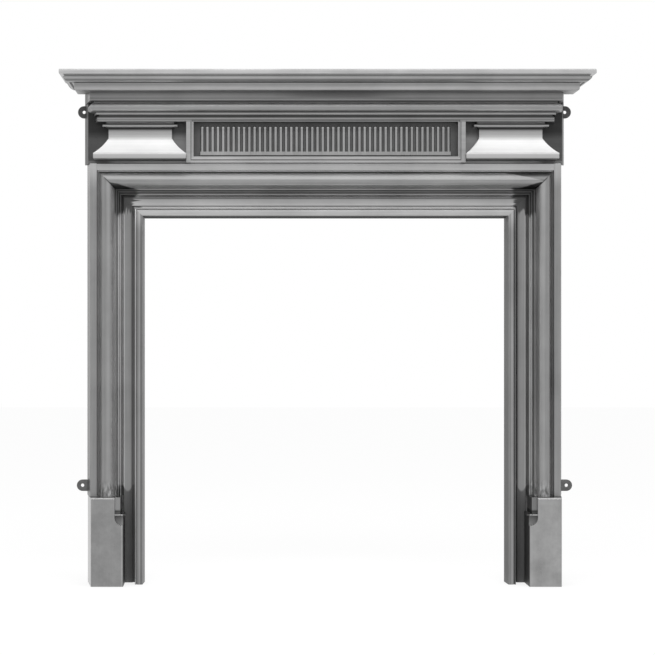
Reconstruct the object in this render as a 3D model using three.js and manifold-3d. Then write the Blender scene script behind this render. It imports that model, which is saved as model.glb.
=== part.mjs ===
// Cast iron fireplace surround: hollow-backed castings of polished grey iron, bolted together from behind.
//
// Millimetres. +X is to the viewer's right, +Z up, and the front faces -Y. Depths are measured forwards
// from the wall that the back lies against. The origin is on the floor, midway in width and in depth.

import * as THREE from 'three';
import { mergeVertices } from 'three/addons/utils/BufferGeometryUtils.js';
import Module from 'manifold-3d';

const wasm = await Module();
wasm.setup();

// ---- Castings and clearances ----
const WALL = 5;                  // wall of a hollow casting
const SEAT = 0.3;                // gap between two pieces that seat on each other
const OVERCUT = 2;               // how far a cutting solid runs past the face that it opens
const ARRIS = 1.5;               // small bevel along an edge
const ROLL_STEPS = 12;           // segments of a large round
const CURVE_STEPS = 6;           // of a middling one
const BEAD_STEPS = 4;            // and of a bead
const BAR_SIDES = 16;
const HOLE_SIDES = 12;

// ---- Fire opening ----
const OPENING_WIDTH = 914;
const OPENING_HEIGHT = 921;

// ---- Members of the bolection frame, from its outer arris in to the fire opening ----
const MARGIN_WIDTH = 17;
const GROOVE_WIDTH = 11;
const ROLL_WIDTH = 31;
const STEPS_WIDTH = 23;
const RECESS_WIDTH = 22;
const QUIRK_WIDTH = 8;
const SLIP_WIDTH = 19;
const BEAD_SETBACK = 3;          // from the roll to the first bead of the stepped slope
const BEAD_PITCH = 10;
const BEAD_WIDTH = 5;
const BEAD_RISE = 2;
const BEAD_DROP = 10;            // the slope falls by this past a bead
const SLIP_BEAD_WIDTH = 4;       // bead along the slip's outer edge
const SLIP_GROOVE_WIDTH = 2;
const SLIP_GROOVE_CUT = 5;

// ---- Depths of the frame's members ----
const MARGIN_DEPTH = 56;
const GROOVE_DEPTH = 44;
const ROLL_SPRING = 60;          // where the roll's half ellipse starts
const ROLL_DEPTH = 80;
const BEAD_DEPTHS = [46, 32];
const RECESS_DEPTH = 16;
const QUIRK_DEPTH = 11;
const SLIP_DEPTH = 56;
const JAMB_DRAFT = 11;           // how far the jamb's outer side spreads towards the wall
const REVEAL_DRAFT = 3;          // how far the opening narrows towards the wall

// ---- Plinths ----
const PLINTH_HEIGHT = 220;
const PLINTH_DEPTH = 98;
const PLINTH_INSET = 5;          // its front arris stands in from the frame's
const PLINTH_LAP = 3;            // its inner side laps over the recess
const PLINTH_DRAFT = 15;
const PLINTH_BEVEL = 3;          // worn bevel along the front edge of its top
const NOTCH_WIDTH = 21;          // notch at the upper inner corner of the plinth's face
const NOTCH_TOP_INSET = 7.5;     // the plinth's inner side is set back above the ledge
const NOTCH_CUT = 12;            // how far the notch is let into the face
const NOTCH_HEIGHT = 49;         // from the plinth's top down to the quarter round
const LEDGE_DROP = 41;           // from the plinth's top down to the small ledge
const LEDGE_HEIGHT = 3;
const LEDGE_REACH = 6;           // the ledge passes the notch by this on both sides
const LEDGE_PROUD = 9;           // and stands out from the notch's floor by this
const COVE_RISE = 14;            // cove between the notch's floor and the ledge

// ---- Entablature, by the inset of each member from the neck ----
const NECK_INSET = 3;            // the neck's front arris stands in from the frame's
const NECK_DEPTH = 100;
const NECK_DRAFT = 20;           // how far the sides spread towards the wall
const NECK_HEIGHT = 46.5;        // up into the shelf
const TORUS_INSET = 1;
const TORUS_HEIGHT = 19.8;
const TORUS_GAP = 5;             // hollow between the torus and the neck
const FILLET_INSET = 15;
const FILLET_HEIGHT = 5;
const FILLET_GAP = 3.2;
const BAND_INSET = 18;
const BAND_HEIGHT = 12;
const BAND_GAP = 5;
const MEMBER_RECESS = 4;         // the dark lines between members go in by this
const FIELD_DEPTH = 40;
const FIELD_SPREAD = 11;         // how far the field's sides spread towards the wall
const FRIEZE_HEIGHT = 101.5;     // from the frame's top to the band

// ---- Centre panel ----
const PANEL_WINDOW_WIDTH = 658;
const PANEL_STILE = 18;
const PANEL_RAIL_BOTTOM = 15;
const PANEL_BEAD = 4;            // step round the window's inner edge
const PANEL_FLOOR_DEPTH = 52;
const PANEL_PLATE = 6;
const PANEL_PLATE_LAP = 11;      // the plate laps behind the stiles
const PANEL_PLATE_GAP = 1.7;     // free edge round the plate
const REED_COUNT = 48;
const REED_PITCH = 13.1;
const REED_RADIUS = 4.6;
const REED_SIDES = 10;
const REED_DOME_STEPS = 2;
const REED_BOTTOM = 28;          // from the frame's top
const REED_TOP = 93.5;
const BASE_RAIL_HEIGHT = 9;
const BASE_RAIL_BOTTOM = 20;
const BASE_RAIL_PROUD = 8;

// ---- Corner blocks ----
const BLOCK_CLEARANCE = 0.5;     // between the centre panel's frame and the block's foot
const BLOCK_NECK_HALF = 79;
const BLOCK_FOOT_HALF = 115;
const BLOCK_CAP_HALF = 93;
const BLOCK_NECK_DEPTH = 58;
const BLOCK_GAP = 8;             // open gap between the frame's top and the block's underside
const BLOCK_CAP_DROP = 5.8;      // from the band down to the thin cap fillet
const BLOCK_CAP_HEIGHT = 5;
const BLOCK_NECK_HEIGHT = 23.7;
const BLOCK_FOOT_HEIGHT = 14;
const BLOCK_SLOPE_SAG = 4;       // draws the slope between them in from straight
const BLOCK_CAP_INSET = 5;       // the dark line above the cap goes in to this from the neck

// ---- Shelf, by the projection of each member past the neck ----
const NOSING_HEIGHT = 12;
const NOSING_PROJECTION = 70;
const FASCIA_PROJECTION = 61;
const FASCIA_HEIGHT = 3.1;
const FASCIA_GAP = 4.5;
const OVOLO_PROJECTION = 47;
const OVOLO_HEIGHT = 10;
const OVOLO_SWELL = 2.5;         // how far the round's middle is drawn out from straight
const COVE_PROJECTION = 41;
const COVE_HEIGHT = 4.5;
const CORNICE_PROJECTION = 35.5;
const CORNICE_HEIGHT = 18.2;
const CORNICE_ROUND = 4.5;       // radius of the cornice's lower edge
const CORNICE_SET = 20.3;        // from the neck's foot up to the cornice's foot
const CORNICE_RETURN_DEPTH = 60; // the cornice's returns end at this distance from the wall
const SHELF_TOP_WALL = 6;
const RIB_PLACES = [-390, 0, 390];
const RIB_DEPTH = 140;

// ---- Lugs ----
const LUG_THICKNESS = 5;
const LUG_HOLE = 8.5;
const LUG_SCREW_INSET = 12;      // screw centre, from the lug's inner end
const TOP_LUG_RADIUS = 15.5;
const TOP_LUG_REACH = 2;         // from the neck's side at the wall out to its hole
const TOP_LUG_ROOT = 17;         // from the neck's front arris in to its inner end
const TOP_LUG_RISE = 7.3;        // from the torus's foot up to its hole
const BOTTOM_LUG_RADIUS = 14.5;
const BOTTOM_LUG_REACH = 12;     // from the jamb's side at the wall out to its hole
const BOTTOM_LUG_ROOT = 26;      // from the frame's outer arris in to its inner end
const BOTTOM_LUG_GAP = 4.2;      // from the jamb's foot up to its edge
const LUG_BOSS = 12;             // thickness of the boss that a lug is screwed to
const LUG_BOSS_HALF = 9;         // half its height

// ---- Fasteners ----
const BOLT = { shank: 8, head: 13, headHeight: 5.3, nutHeight: 6.5 };
const SCREW = { shank: 6, head: 10, headHeight: 4 };
const PANEL_SCREW = { shank: 4, head: 7, headHeight: 2.6 };
const SHELF_BOLT_PLACES = [-520, -200, 200, 520];
const SHELF_BOLT_DEPTH = 50;
const SHELF_BOSS = 22;
const FRIEZE_BOLT_PLACES = [-440, -150, 150, 440];
const FRIEZE_BOLT_DEPTH = 20;
const MITRE_BOLT_DEPTHS = [14, 34];
const MITRE_BOLT_INSET = 48;     // from the frame's outer arris
const PLINTH_SCREW_HEIGHTS = [50, 130];
const PLINTH_FLANGE_SETBACK = 6; // room behind the flange for the screw heads
const PLINTH_EAR = 24;
const PLINTH_EAR_THICKNESS = 12;
const BLOCK_SCREW_OFFSET = 50;
const BLOCK_SCREW_DROP = 68;     // below the band
const BLOCK_BOSS = 15;
const PANEL_SCREW_INSET = 6;     // from the window's edge
const PANEL_SCREW_DROPS = [22, 72];   // below the band

// ---- Places worked out from the sizes above ----
const marginEnd = MARGIN_WIDTH;
const rollStart = marginEnd + GROOVE_WIDTH;
const rollEnd = rollStart + ROLL_WIDTH;
const stepsEnd = rollEnd + STEPS_WIDTH;
const recessEnd = stepsEnd + RECESS_WIDTH;
const slipStart = recessEnd + QUIRK_WIDTH;
const frameWidth = slipStart + SLIP_WIDTH;
const frameHalf = OPENING_WIDTH / 2 + frameWidth;
const frameTop = OPENING_HEIGHT + frameWidth;

const plinthInner = frameHalf - stepsEnd - PLINTH_LAP;
const plinthOuter = frameHalf - PLINTH_INSET;

const neckHalf = frameHalf - NECK_INSET;
const bandFoot = frameTop + FRIEZE_HEIGHT;
const bandTop = bandFoot + BAND_HEIGHT;
const filletFoot = bandTop + BAND_GAP;
const filletTop = filletFoot + FILLET_HEIGHT;
const torusFoot = filletTop + FILLET_GAP;
const torusTop = torusFoot + TORUS_HEIGHT;
const neckFoot = torusTop + TORUS_GAP;
const neckTop = neckFoot + NECK_HEIGHT;

const corniceFoot = neckFoot + CORNICE_SET;
const corniceTop = corniceFoot + CORNICE_HEIGHT;
const fasciaFoot = corniceTop + OVOLO_HEIGHT;
const fasciaTop = fasciaFoot + FASCIA_HEIGHT;
const nosingFoot = fasciaTop + FASCIA_GAP;
const shelfTop = nosingFoot + NOSING_HEIGHT;
const shelfDepth = NECK_DEPTH + NOSING_PROJECTION;

const bandDepth = NECK_DEPTH - BAND_INSET;
const panelWindowFoot = frameTop + PANEL_RAIL_BOTTOM;
const panelWindowHalf = PANEL_WINDOW_WIDTH / 2;
const panelHalf = panelWindowHalf + PANEL_STILE;
const plateHalf = panelWindowHalf + PANEL_PLATE_LAP;
const blockCentre = panelHalf + BLOCK_CLEARANCE + BLOCK_FOOT_HALF;

const jambFoot = PLINTH_HEIGHT + SEAT;
const plinthFlangeTop = jambFoot + WALL;

const topLug = {
  radius: TOP_LUG_RADIUS,
  centre: neckHalf + NECK_DRAFT + TOP_LUG_REACH,
  inner: neckHalf - TOP_LUG_ROOT,
  height: torusFoot + TOP_LUG_RISE,
};
const bottomLug = {
  radius: BOTTOM_LUG_RADIUS,
  centre: frameHalf + JAMB_DRAFT + BOTTOM_LUG_REACH,
  inner: frameHalf - BOTTOM_LUG_ROOT,
  height: plinthFlangeTop + BOTTOM_LUG_GAP + BOTTOM_LUG_RADIUS,
};

// ---- Materials ----
const polishedIron = new THREE.MeshStandardMaterial({ color: 0x969696, roughness: 0.32, metalness: 1 });
const castIron = new THREE.MeshStandardMaterial({ color: 0x4c4c4c, roughness: 0.6, metalness: 0.8 });
const steel = new THREE.MeshStandardMaterial({ color: 0x8c8e90, roughness: 0.4, metalness: 1 });

// ================= Solids =================

// A closed three.js geometry as a solid that can be cut and joined
function toSolid(geometry, matrix = new THREE.Matrix4()) {
  geometry.deleteAttribute('normal');
  geometry.deleteAttribute('uv');
  const merged = mergeVertices(geometry, 1e-4);
  merged.applyMatrix4(matrix);
  const corners = merged.index.array;
  const triangles = [];
  for (let i = 0; i < corners.length; i += 3) {
    const [a, b, c] = [corners[i], corners[i + 1], corners[i + 2]];
    if (a !== b && b !== c && c !== a) triangles.push(a, b, c);
  }
  return new wasm.Manifold(new wasm.Mesh({
    numProp: 3,
    vertProperties: Float32Array.from(merged.attributes.position.array),
    triVerts: Uint32Array.from(triangles),
  }));
}

function toGeometry(solid) {
  const mesh = solid.getMesh();
  const geometry = new THREE.BufferGeometry();
  geometry.setAttribute('position', new THREE.BufferAttribute(mesh.vertProperties, mesh.numProp));
  geometry.setIndex(new THREE.BufferAttribute(mesh.triVerts, 1));
  geometry.computeVertexNormals();
  return geometry;
}

// The same solid on the other side of the middle plane
function mirrored(solid) {
  const geometry = toGeometry(solid);
  geometry.scale(-1, 1, 1);
  const corners = geometry.index.array;
  for (let i = 0; i < corners.length; i += 3) {
    [corners[i], corners[i + 1]] = [corners[i + 1], corners[i]];
  }
  return toSolid(geometry);
}

function extruded(points, length, basis, origin) {
  const geometry = new THREE.ExtrudeGeometry(new THREE.Shape(points), { depth: length, bevelEnabled: false });
  return toSolid(geometry, new THREE.Matrix4().makeBasis(...basis).setPosition(...origin));
}

const X_AXIS = new THREE.Vector3(1, 0, 0);
const FORWARDS = new THREE.Vector3(0, -1, 0);
const UP = new THREE.Vector3(0, 0, 1);
const LEFT = new THREE.Vector3(-1, 0, 0);
const DOWN = new THREE.Vector3(0, 0, -1);
const point = (a, b) => new THREE.Vector2(a, b);
const at = (x, depth, z) => new THREE.Vector3(x, -depth, z);

// Points along part of an ellipse, clockwise where the angle falls
function arc(centreA, centreB, radiusA, radiusB, from, to, steps) {
  return new THREE.EllipseCurve(centreA, centreB, radiusA, radiusB, from, to, from > to).getPoints(steps);
}

function hollowCurve(start, corner, end, steps) {
  return new THREE.QuadraticBezierCurve(start, corner, end).getPoints(steps);
}

// An outline of (depth, height) points run along the width
function alongWidth(points, x0, x1) {
  return extruded(points, x1 - x0, [FORWARDS, UP, LEFT], [x1, 0, 0]);
}

// An outline of (width, depth) points run up the height
function alongHeight(points, z0, z1) {
  return extruded(points, z1 - z0, [X_AXIS, FORWARDS, DOWN], [0, 0, z1]);
}

// An outline of (width, height) points run forwards
function alongDepth(points, d0, d1) {
  return extruded(points, d1 - d0, [X_AXIS, UP, FORWARDS], [0, -d0, 0]);
}

function block(x0, x1, d0, d1, z0, z1) {
  const geometry = new THREE.BoxGeometry(x1 - x0, d1 - d0, z1 - z0);
  geometry.translate((x0 + x1) / 2, -(d0 + d1) / 2, (z0 + z1) / 2);
  return toSolid(geometry);
}

// A round bar from one end point along a direction
function bar(radius, start, direction, length, sides = BAR_SIDES) {
  return toSolid(new THREE.CylinderGeometry(radius, radius, length, sides), onAxis(start, direction, length / 2));
}

// Sets a solid of revolution, made about +Y, on an axis in the model
function onAxis(start, direction, offset = 0) {
  const turn = new THREE.Quaternion().setFromUnitVectors(new THREE.Vector3(0, 1, 0), direction);
  const centre = start.clone().addScaledVector(direction, offset);
  return new THREE.Matrix4().compose(centre, turn, new THREE.Vector3(1, 1, 1));
}

function joined(...solids) {
  return solids.reduce((whole, next) => whole.add(next));
}

function cut(solid, ...cutters) {
  return cutters.reduce((rest, cutter) => rest.subtract(cutter), solid);
}

// A moulding that runs across the front and returns to the wall at both ends, mitred at the corners.
// The profile lists (half width, height) from the foot up; a member's depth is its half width plus
// depthShift, and its ends spread by draft towards the wall. The solid is a four-sided lathe whose
// rings are pulled out into rectangles.
function returned(profile, { depthShift, draft, back = 0, centre = 0 }) {
  const points = [point(0, profile[0].y), ...profile, point(0, profile[profile.length - 1].y)];
  const geometry = new THREE.LatheGeometry(points, 4, Math.PI / 4);
  const position = geometry.attributes.position;
  for (let i = 0; i < position.count; i += 1) {
    const half = points[i % points.length].x;
    const side = Math.sign(Math.round(position.getX(i)));
    const front = Math.round(position.getZ(i)) > 0;
    const depth = half + depthShift;
    const spread = draft * (depth - back) / (NECK_DEPTH - back);
    const x = side * (front ? half : half + spread);
    const backDepth = half > 0 ? back : back + WALL;
    position.setXYZ(i, centre + x, -(front ? depth : backDepth), position.getY(i));
  }
  return toSolid(geometry);
}

// ================= Fasteners =================

const parts = new THREE.Group();
const assembly = new THREE.Group();
assembly.position.y = shelfDepth / 2;
assembly.add(parts);

function addPart(name, solid, material) {
  const mesh = new THREE.Mesh(toGeometry(solid), material);
  mesh.name = name;
  parts.add(mesh);
  return mesh;
}

// A fastener is made with its seat at the origin and its shank along +Z, then turned and set in place
function placeFastener(name, solid, seat, direction) {
  const mesh = addPart(name, solid, steel);
  mesh.quaternion.setFromUnitVectors(UP, direction);
  mesh.position.set(...seat);
}

function boltSolid(size, length) {
  const origin = new THREE.Vector3();
  const overlap = new THREE.Vector3(0, 0, -size.headHeight / 2);
  return joined(
    bar(size.head / Math.sqrt(3), origin, DOWN, size.headHeight, 6),
    bar(size.shank / 2, overlap, UP, length + size.headHeight / 2, HOLE_SIDES),
  );
}

function nutSolid(size) {
  return cut(
    bar(size.head / Math.sqrt(3), new THREE.Vector3(), UP, size.nutHeight, 6),
    hole(size, new THREE.Vector3(0, 0, -OVERCUT), UP, size.nutHeight + 2 * OVERCUT),
  );
}

// Clearance hole for a fastener through castings, open at both ends
function hole(size, start, direction, length) {
  return bar(size.shank / 2 + SEAT, start, direction, length, HOLE_SIDES);
}

// ================= Bolection frame =================

// Front of the frame's profile as (distance in from the outer arris, depth), from the side to the reveal
function frameFront(draft) {
  const beadRadius = BEAD_WIDTH / 2;
  const beads = BEAD_DEPTHS.flatMap((depth, i) => {
    const start = rollEnd + BEAD_SETBACK + i * BEAD_PITCH;
    return [
      ...arc(start + beadRadius, depth, beadRadius, BEAD_RISE, Math.PI, 0, BEAD_STEPS),
      point(start + BEAD_WIDTH + 1, depth - BEAD_DROP),
      point(start + BEAD_PITCH - 1, depth - BEAD_DROP - BEAD_RISE),
    ];
  });
  beads.pop();
  const slipBeadEnd = slipStart + SLIP_BEAD_WIDTH;
  const slipGroove = SLIP_DEPTH - SLIP_GROOVE_CUT;
  return [
    point(-draft, 0),
    point(0, MARGIN_DEPTH - ARRIS),
    point(ARRIS, MARGIN_DEPTH),
    point(marginEnd, MARGIN_DEPTH),
    ...hollowCurve(point(marginEnd + 0.5, GROOVE_DEPTH), point(rollStart - ARRIS, GROOVE_DEPTH),
      point(rollStart - ARRIS, ROLL_SPRING - 2 * ARRIS), CURVE_STEPS),
    ...arc((rollStart + rollEnd) / 2, ROLL_SPRING, ROLL_WIDTH / 2, ROLL_DEPTH - ROLL_SPRING,
      Math.PI, 0, ROLL_STEPS),
    ...beads,
    point(stepsEnd, RECESS_DEPTH),
    point(recessEnd, RECESS_DEPTH),
    point(recessEnd, QUIRK_DEPTH),
    point(slipStart, QUIRK_DEPTH),
    ...arc(slipStart + SLIP_BEAD_WIDTH / 2, SLIP_DEPTH - BEAD_RISE, SLIP_BEAD_WIDTH / 2, BEAD_RISE,
      Math.PI, 0, BEAD_STEPS),
    point(slipBeadEnd, slipGroove),
    point(slipBeadEnd + SLIP_GROOVE_WIDTH, slipGroove),
    point(slipBeadEnd + SLIP_GROOVE_WIDTH, SLIP_DEPTH),
    point(frameWidth - ARRIS, SLIP_DEPTH),
    point(frameWidth, SLIP_DEPTH - ARRIS),
    point(frameWidth + REVEAL_DRAFT, 0),
  ];
}

// Back of the same wall, from the reveal out to the side
function frameBack(draft) {
  const slipBack = SLIP_DEPTH - SLIP_GROOVE_CUT - WALL;
  const grooveBack = GROOVE_DEPTH - WALL;
  const lastBead = BEAD_DEPTHS.length - 1;
  const stepBacks = BEAD_DEPTHS.map((depth, i) => (
    point(rollEnd + BEAD_SETBACK + i * BEAD_PITCH + (i === lastBead ? 0 : -WALL / 2), depth - BEAD_DROP - WALL / 2)
  )).reverse();
  return [
    point(frameWidth + REVEAL_DRAFT - WALL, 0),
    point(frameWidth - WALL, slipBack),
    point(slipStart + WALL, slipBack),
    point(slipStart + WALL, QUIRK_DEPTH - WALL),
    point(recessEnd - WALL, QUIRK_DEPTH - WALL),
    point(recessEnd - WALL, RECESS_DEPTH - WALL),
    point(stepsEnd - WALL / 2, RECESS_DEPTH - WALL),
    ...stepBacks,
    ...arc((rollStart + rollEnd) / 2, ROLL_SPRING - WALL, ROLL_WIDTH / 2 - WALL,
      ROLL_DEPTH - ROLL_SPRING, 0, Math.PI, ROLL_STEPS / 2),
    point(rollStart, grooveBack + WALL / 2),
    point(rollStart - WALL, grooveBack),
    point(marginEnd - WALL, grooveBack),
    point(marginEnd - WALL, MARGIN_DEPTH - WALL),
    point(WALL, MARGIN_DEPTH - WALL),
    point(WALL - draft, 0),
  ];
}

const mitreRun = frameWidth + REVEAL_DRAFT + OVERCUT;     // how far in the mitre line has to go
const reach = shelfDepth + OVERCUT;                       // deeper than any member

// The right jamb's side of the joint with the header: butted at the margin, mitred through the mouldings
const jambRegion = [
  point(frameHalf + reach, -OVERCUT),
  point(frameHalf + reach, frameTop),
  point(frameHalf - marginEnd, frameTop),
  point(frameHalf - marginEnd, frameTop - marginEnd),
  point(frameHalf - mitreRun, frameTop - mitreRun),
  point(frameHalf - mitreRun, -OVERCUT),
];

const mitreGap = SEAT * Math.SQRT2;
const headerEnd = frameHalf - marginEnd - SEAT;
const headerRegion = [
  point(headerEnd, frameTop + OVERCUT),
  point(-headerEnd, frameTop + OVERCUT),
  point(-headerEnd, frameTop - marginEnd + mitreGap - SEAT),
  point(-frameHalf + mitreRun, frameTop - mitreRun + mitreGap),
  point(frameHalf - mitreRun, frameTop - mitreRun + mitreGap),
  point(headerEnd, frameTop - marginEnd + mitreGap - SEAT),
];

// A strip along the mitre, one wall thick, below it for the jamb and above it for the header
function mitreStrip(low, high) {
  return alongDepth([
    point(frameHalf - marginEnd, frameTop - marginEnd + high),
    point(frameHalf - mitreRun, frameTop - mitreRun + high),
    point(frameHalf - mitreRun, frameTop - mitreRun + low),
    point(frameHalf - marginEnd, frameTop - marginEnd + low),
  ], -OVERCUT, reach);
}

const flangeDrop = WALL * Math.SQRT2;

// Holes for the mitre bolts, square to the mitre
const mitreNormal = new THREE.Vector3(1, 0, -1).normalize();
const mitreBoltSeats = MITRE_BOLT_DEPTHS.map((depth) => (
  at(frameHalf - MITRE_BOLT_INSET, depth, frameTop - MITRE_BOLT_INSET)
));
const mitreHoleLength = 4 * WALL;

function mitreHoles() {
  return mitreBoltSeats.map((middle) => (
    hole(BOLT, middle.clone().addScaledVector(mitreNormal, -mitreHoleLength / 2), mitreNormal, mitreHoleLength)
  ));
}

// Profile outline of the right jamb, shell or filled to the wall
const jambPoint = (p) => point(frameHalf - p.x, p.y);
const jambShell = [...frameFront(JAMB_DRAFT), ...frameBack(JAMB_DRAFT)].map(jambPoint);
const jambFilled = frameFront(JAMB_DRAFT).map(jambPoint);

const headerPoint = (p) => point(p.y, frameTop - p.x);
const headerShell = [...frameFront(0), ...frameBack(0)].map(headerPoint);
const headerFilled = frameFront(0).map(headerPoint);

const jambEdge = frameHalf - stepsEnd;       // outer edge of the recess
const webInner = jambEdge - WALL;
const plinthFlangeOuter = frameHalf - WALL;

function lugBoss(lug, wallX) {
  return block(lug.inner, wallX, LUG_THICKNESS + SEAT, LUG_THICKNESS + SEAT + LUG_BOSS,
    lug.height - LUG_BOSS_HALF, lug.height + LUG_BOSS_HALF);
}

function lugNotch(lug) {
  return block(lug.inner - SEAT, lug.centre + lug.radius, -OVERCUT, LUG_THICKNESS + SEAT,
    lug.height - lug.radius - SEAT, lug.height + lug.radius + SEAT);
}

function lugScrewHole(lug) {
  return hole(SCREW, at(lug.inner + LUG_SCREW_INSET, -OVERCUT, lug.height), FORWARDS, LUG_THICKNESS + LUG_BOSS);
}

function jamb() {
  const filled = alongHeight(jambFilled, -OVERCUT, frameTop);
  const shell = alongHeight(jambShell, 0, frameTop).intersect(alongDepth(jambRegion, -OVERCUT, reach));
  const mitreFlange = filled.intersect(mitreStrip(-flangeDrop, 0));
  const cap = filled.intersect(block(frameHalf - marginEnd, frameHalf + reach, 0, reach,
    frameTop - WALL, frameTop));
  const foot = filled.intersect(block(jambEdge, frameHalf + reach, 0, reach, jambFoot, plinthFlangeTop));
  const plinthSpace = block(jambEdge, frameHalf + reach, -OVERCUT, reach, -OVERCUT, jambFoot);
  const plinthFlange = block(webInner, plinthFlangeOuter, PLINTH_FLANGE_SETBACK,
    PLINTH_FLANGE_SETBACK + WALL, 0, plinthFlangeTop);
  const web = block(webInner, jambEdge, 0, RECESS_DEPTH, 0, plinthFlangeTop);
  const plinthHoles = PLINTH_SCREW_HEIGHTS.map((z) => (
    hole(SCREW, at(plinthScrewX, 0, z), FORWARDS, PLINTH_FLANGE_SETBACK + WALL + OVERCUT)
  ));
  return cut(
    joined(cut(joined(shell, mitreFlange, cap, foot), plinthSpace), plinthFlange, web,
      lugBoss(bottomLug, frameHalf + JAMB_DRAFT / 2)),
    ...mitreHoles(), ...plinthHoles, lugNotch(bottomLug), lugScrewHole(bottomLug),
  );
}

const friezeHoleStart = frameTop - 2 * WALL;
const friezeHoleLength = 4 * WALL;

function friezeHoles() {
  return FRIEZE_BOLT_PLACES.map((x) => (
    hole(BOLT, at(x, FRIEZE_BOLT_DEPTH, friezeHoleStart), UP, friezeHoleLength)
  ));
}

function header() {
  const filled = alongWidth(headerFilled, -frameHalf, frameHalf);
  const shell = alongWidth(headerShell, -frameHalf, frameHalf);
  const flange = mitreStrip(mitreGap, mitreGap + flangeDrop);
  const flanges = filled.intersect(joined(flange, mirrored(flange)));
  const holes = mitreHoles();
  return cut(
    joined(shell, flanges).intersect(alongDepth(headerRegion, -OVERCUT, reach)),
    ...holes, ...holes.map(mirrored), ...friezeHoles(),
  );
}

// ================= Plinths =================

const plinthBack = PLINTH_FLANGE_SETBACK + WALL + SEAT;   // the plinth stands against the jamb's flange
const plinthScrewX = plinthOuter - WALL - PLINTH_EAR / 2;
const notchOuter = plinthInner + NOTCH_WIDTH;
const notchFoot = PLINTH_HEIGHT - NOTCH_HEIGHT;
const ledgeTop = PLINTH_HEIGHT - LEDGE_DROP;
const notchFloor = PLINTH_DEPTH - NOTCH_CUT;

// How far the plinth's outer side stands at a depth
const plinthSide = (depth) => plinthOuter + PLINTH_DRAFT * (1 - depth / PLINTH_DEPTH);

// Plan of the plinth from its inner side to its outer, and of the hollow within it
function plinthPlan(inner) {
  return [
    point(inner, 0),
    point(inner, PLINTH_DEPTH),
    point(plinthOuter - ARRIS, PLINTH_DEPTH),
    point(plinthSide(PLINTH_DEPTH - ARRIS), PLINTH_DEPTH - ARRIS),
    point(plinthSide(0), 0),
  ];
}

function hollowPlan(inner) {
  const front = PLINTH_DEPTH - WALL;
  return [
    point(inner, -OVERCUT),
    point(inner, front),
    point(plinthSide(front) - WALL, front),
    point(plinthSide(-OVERCUT) - WALL, -OVERCUT),
  ];
}

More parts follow.
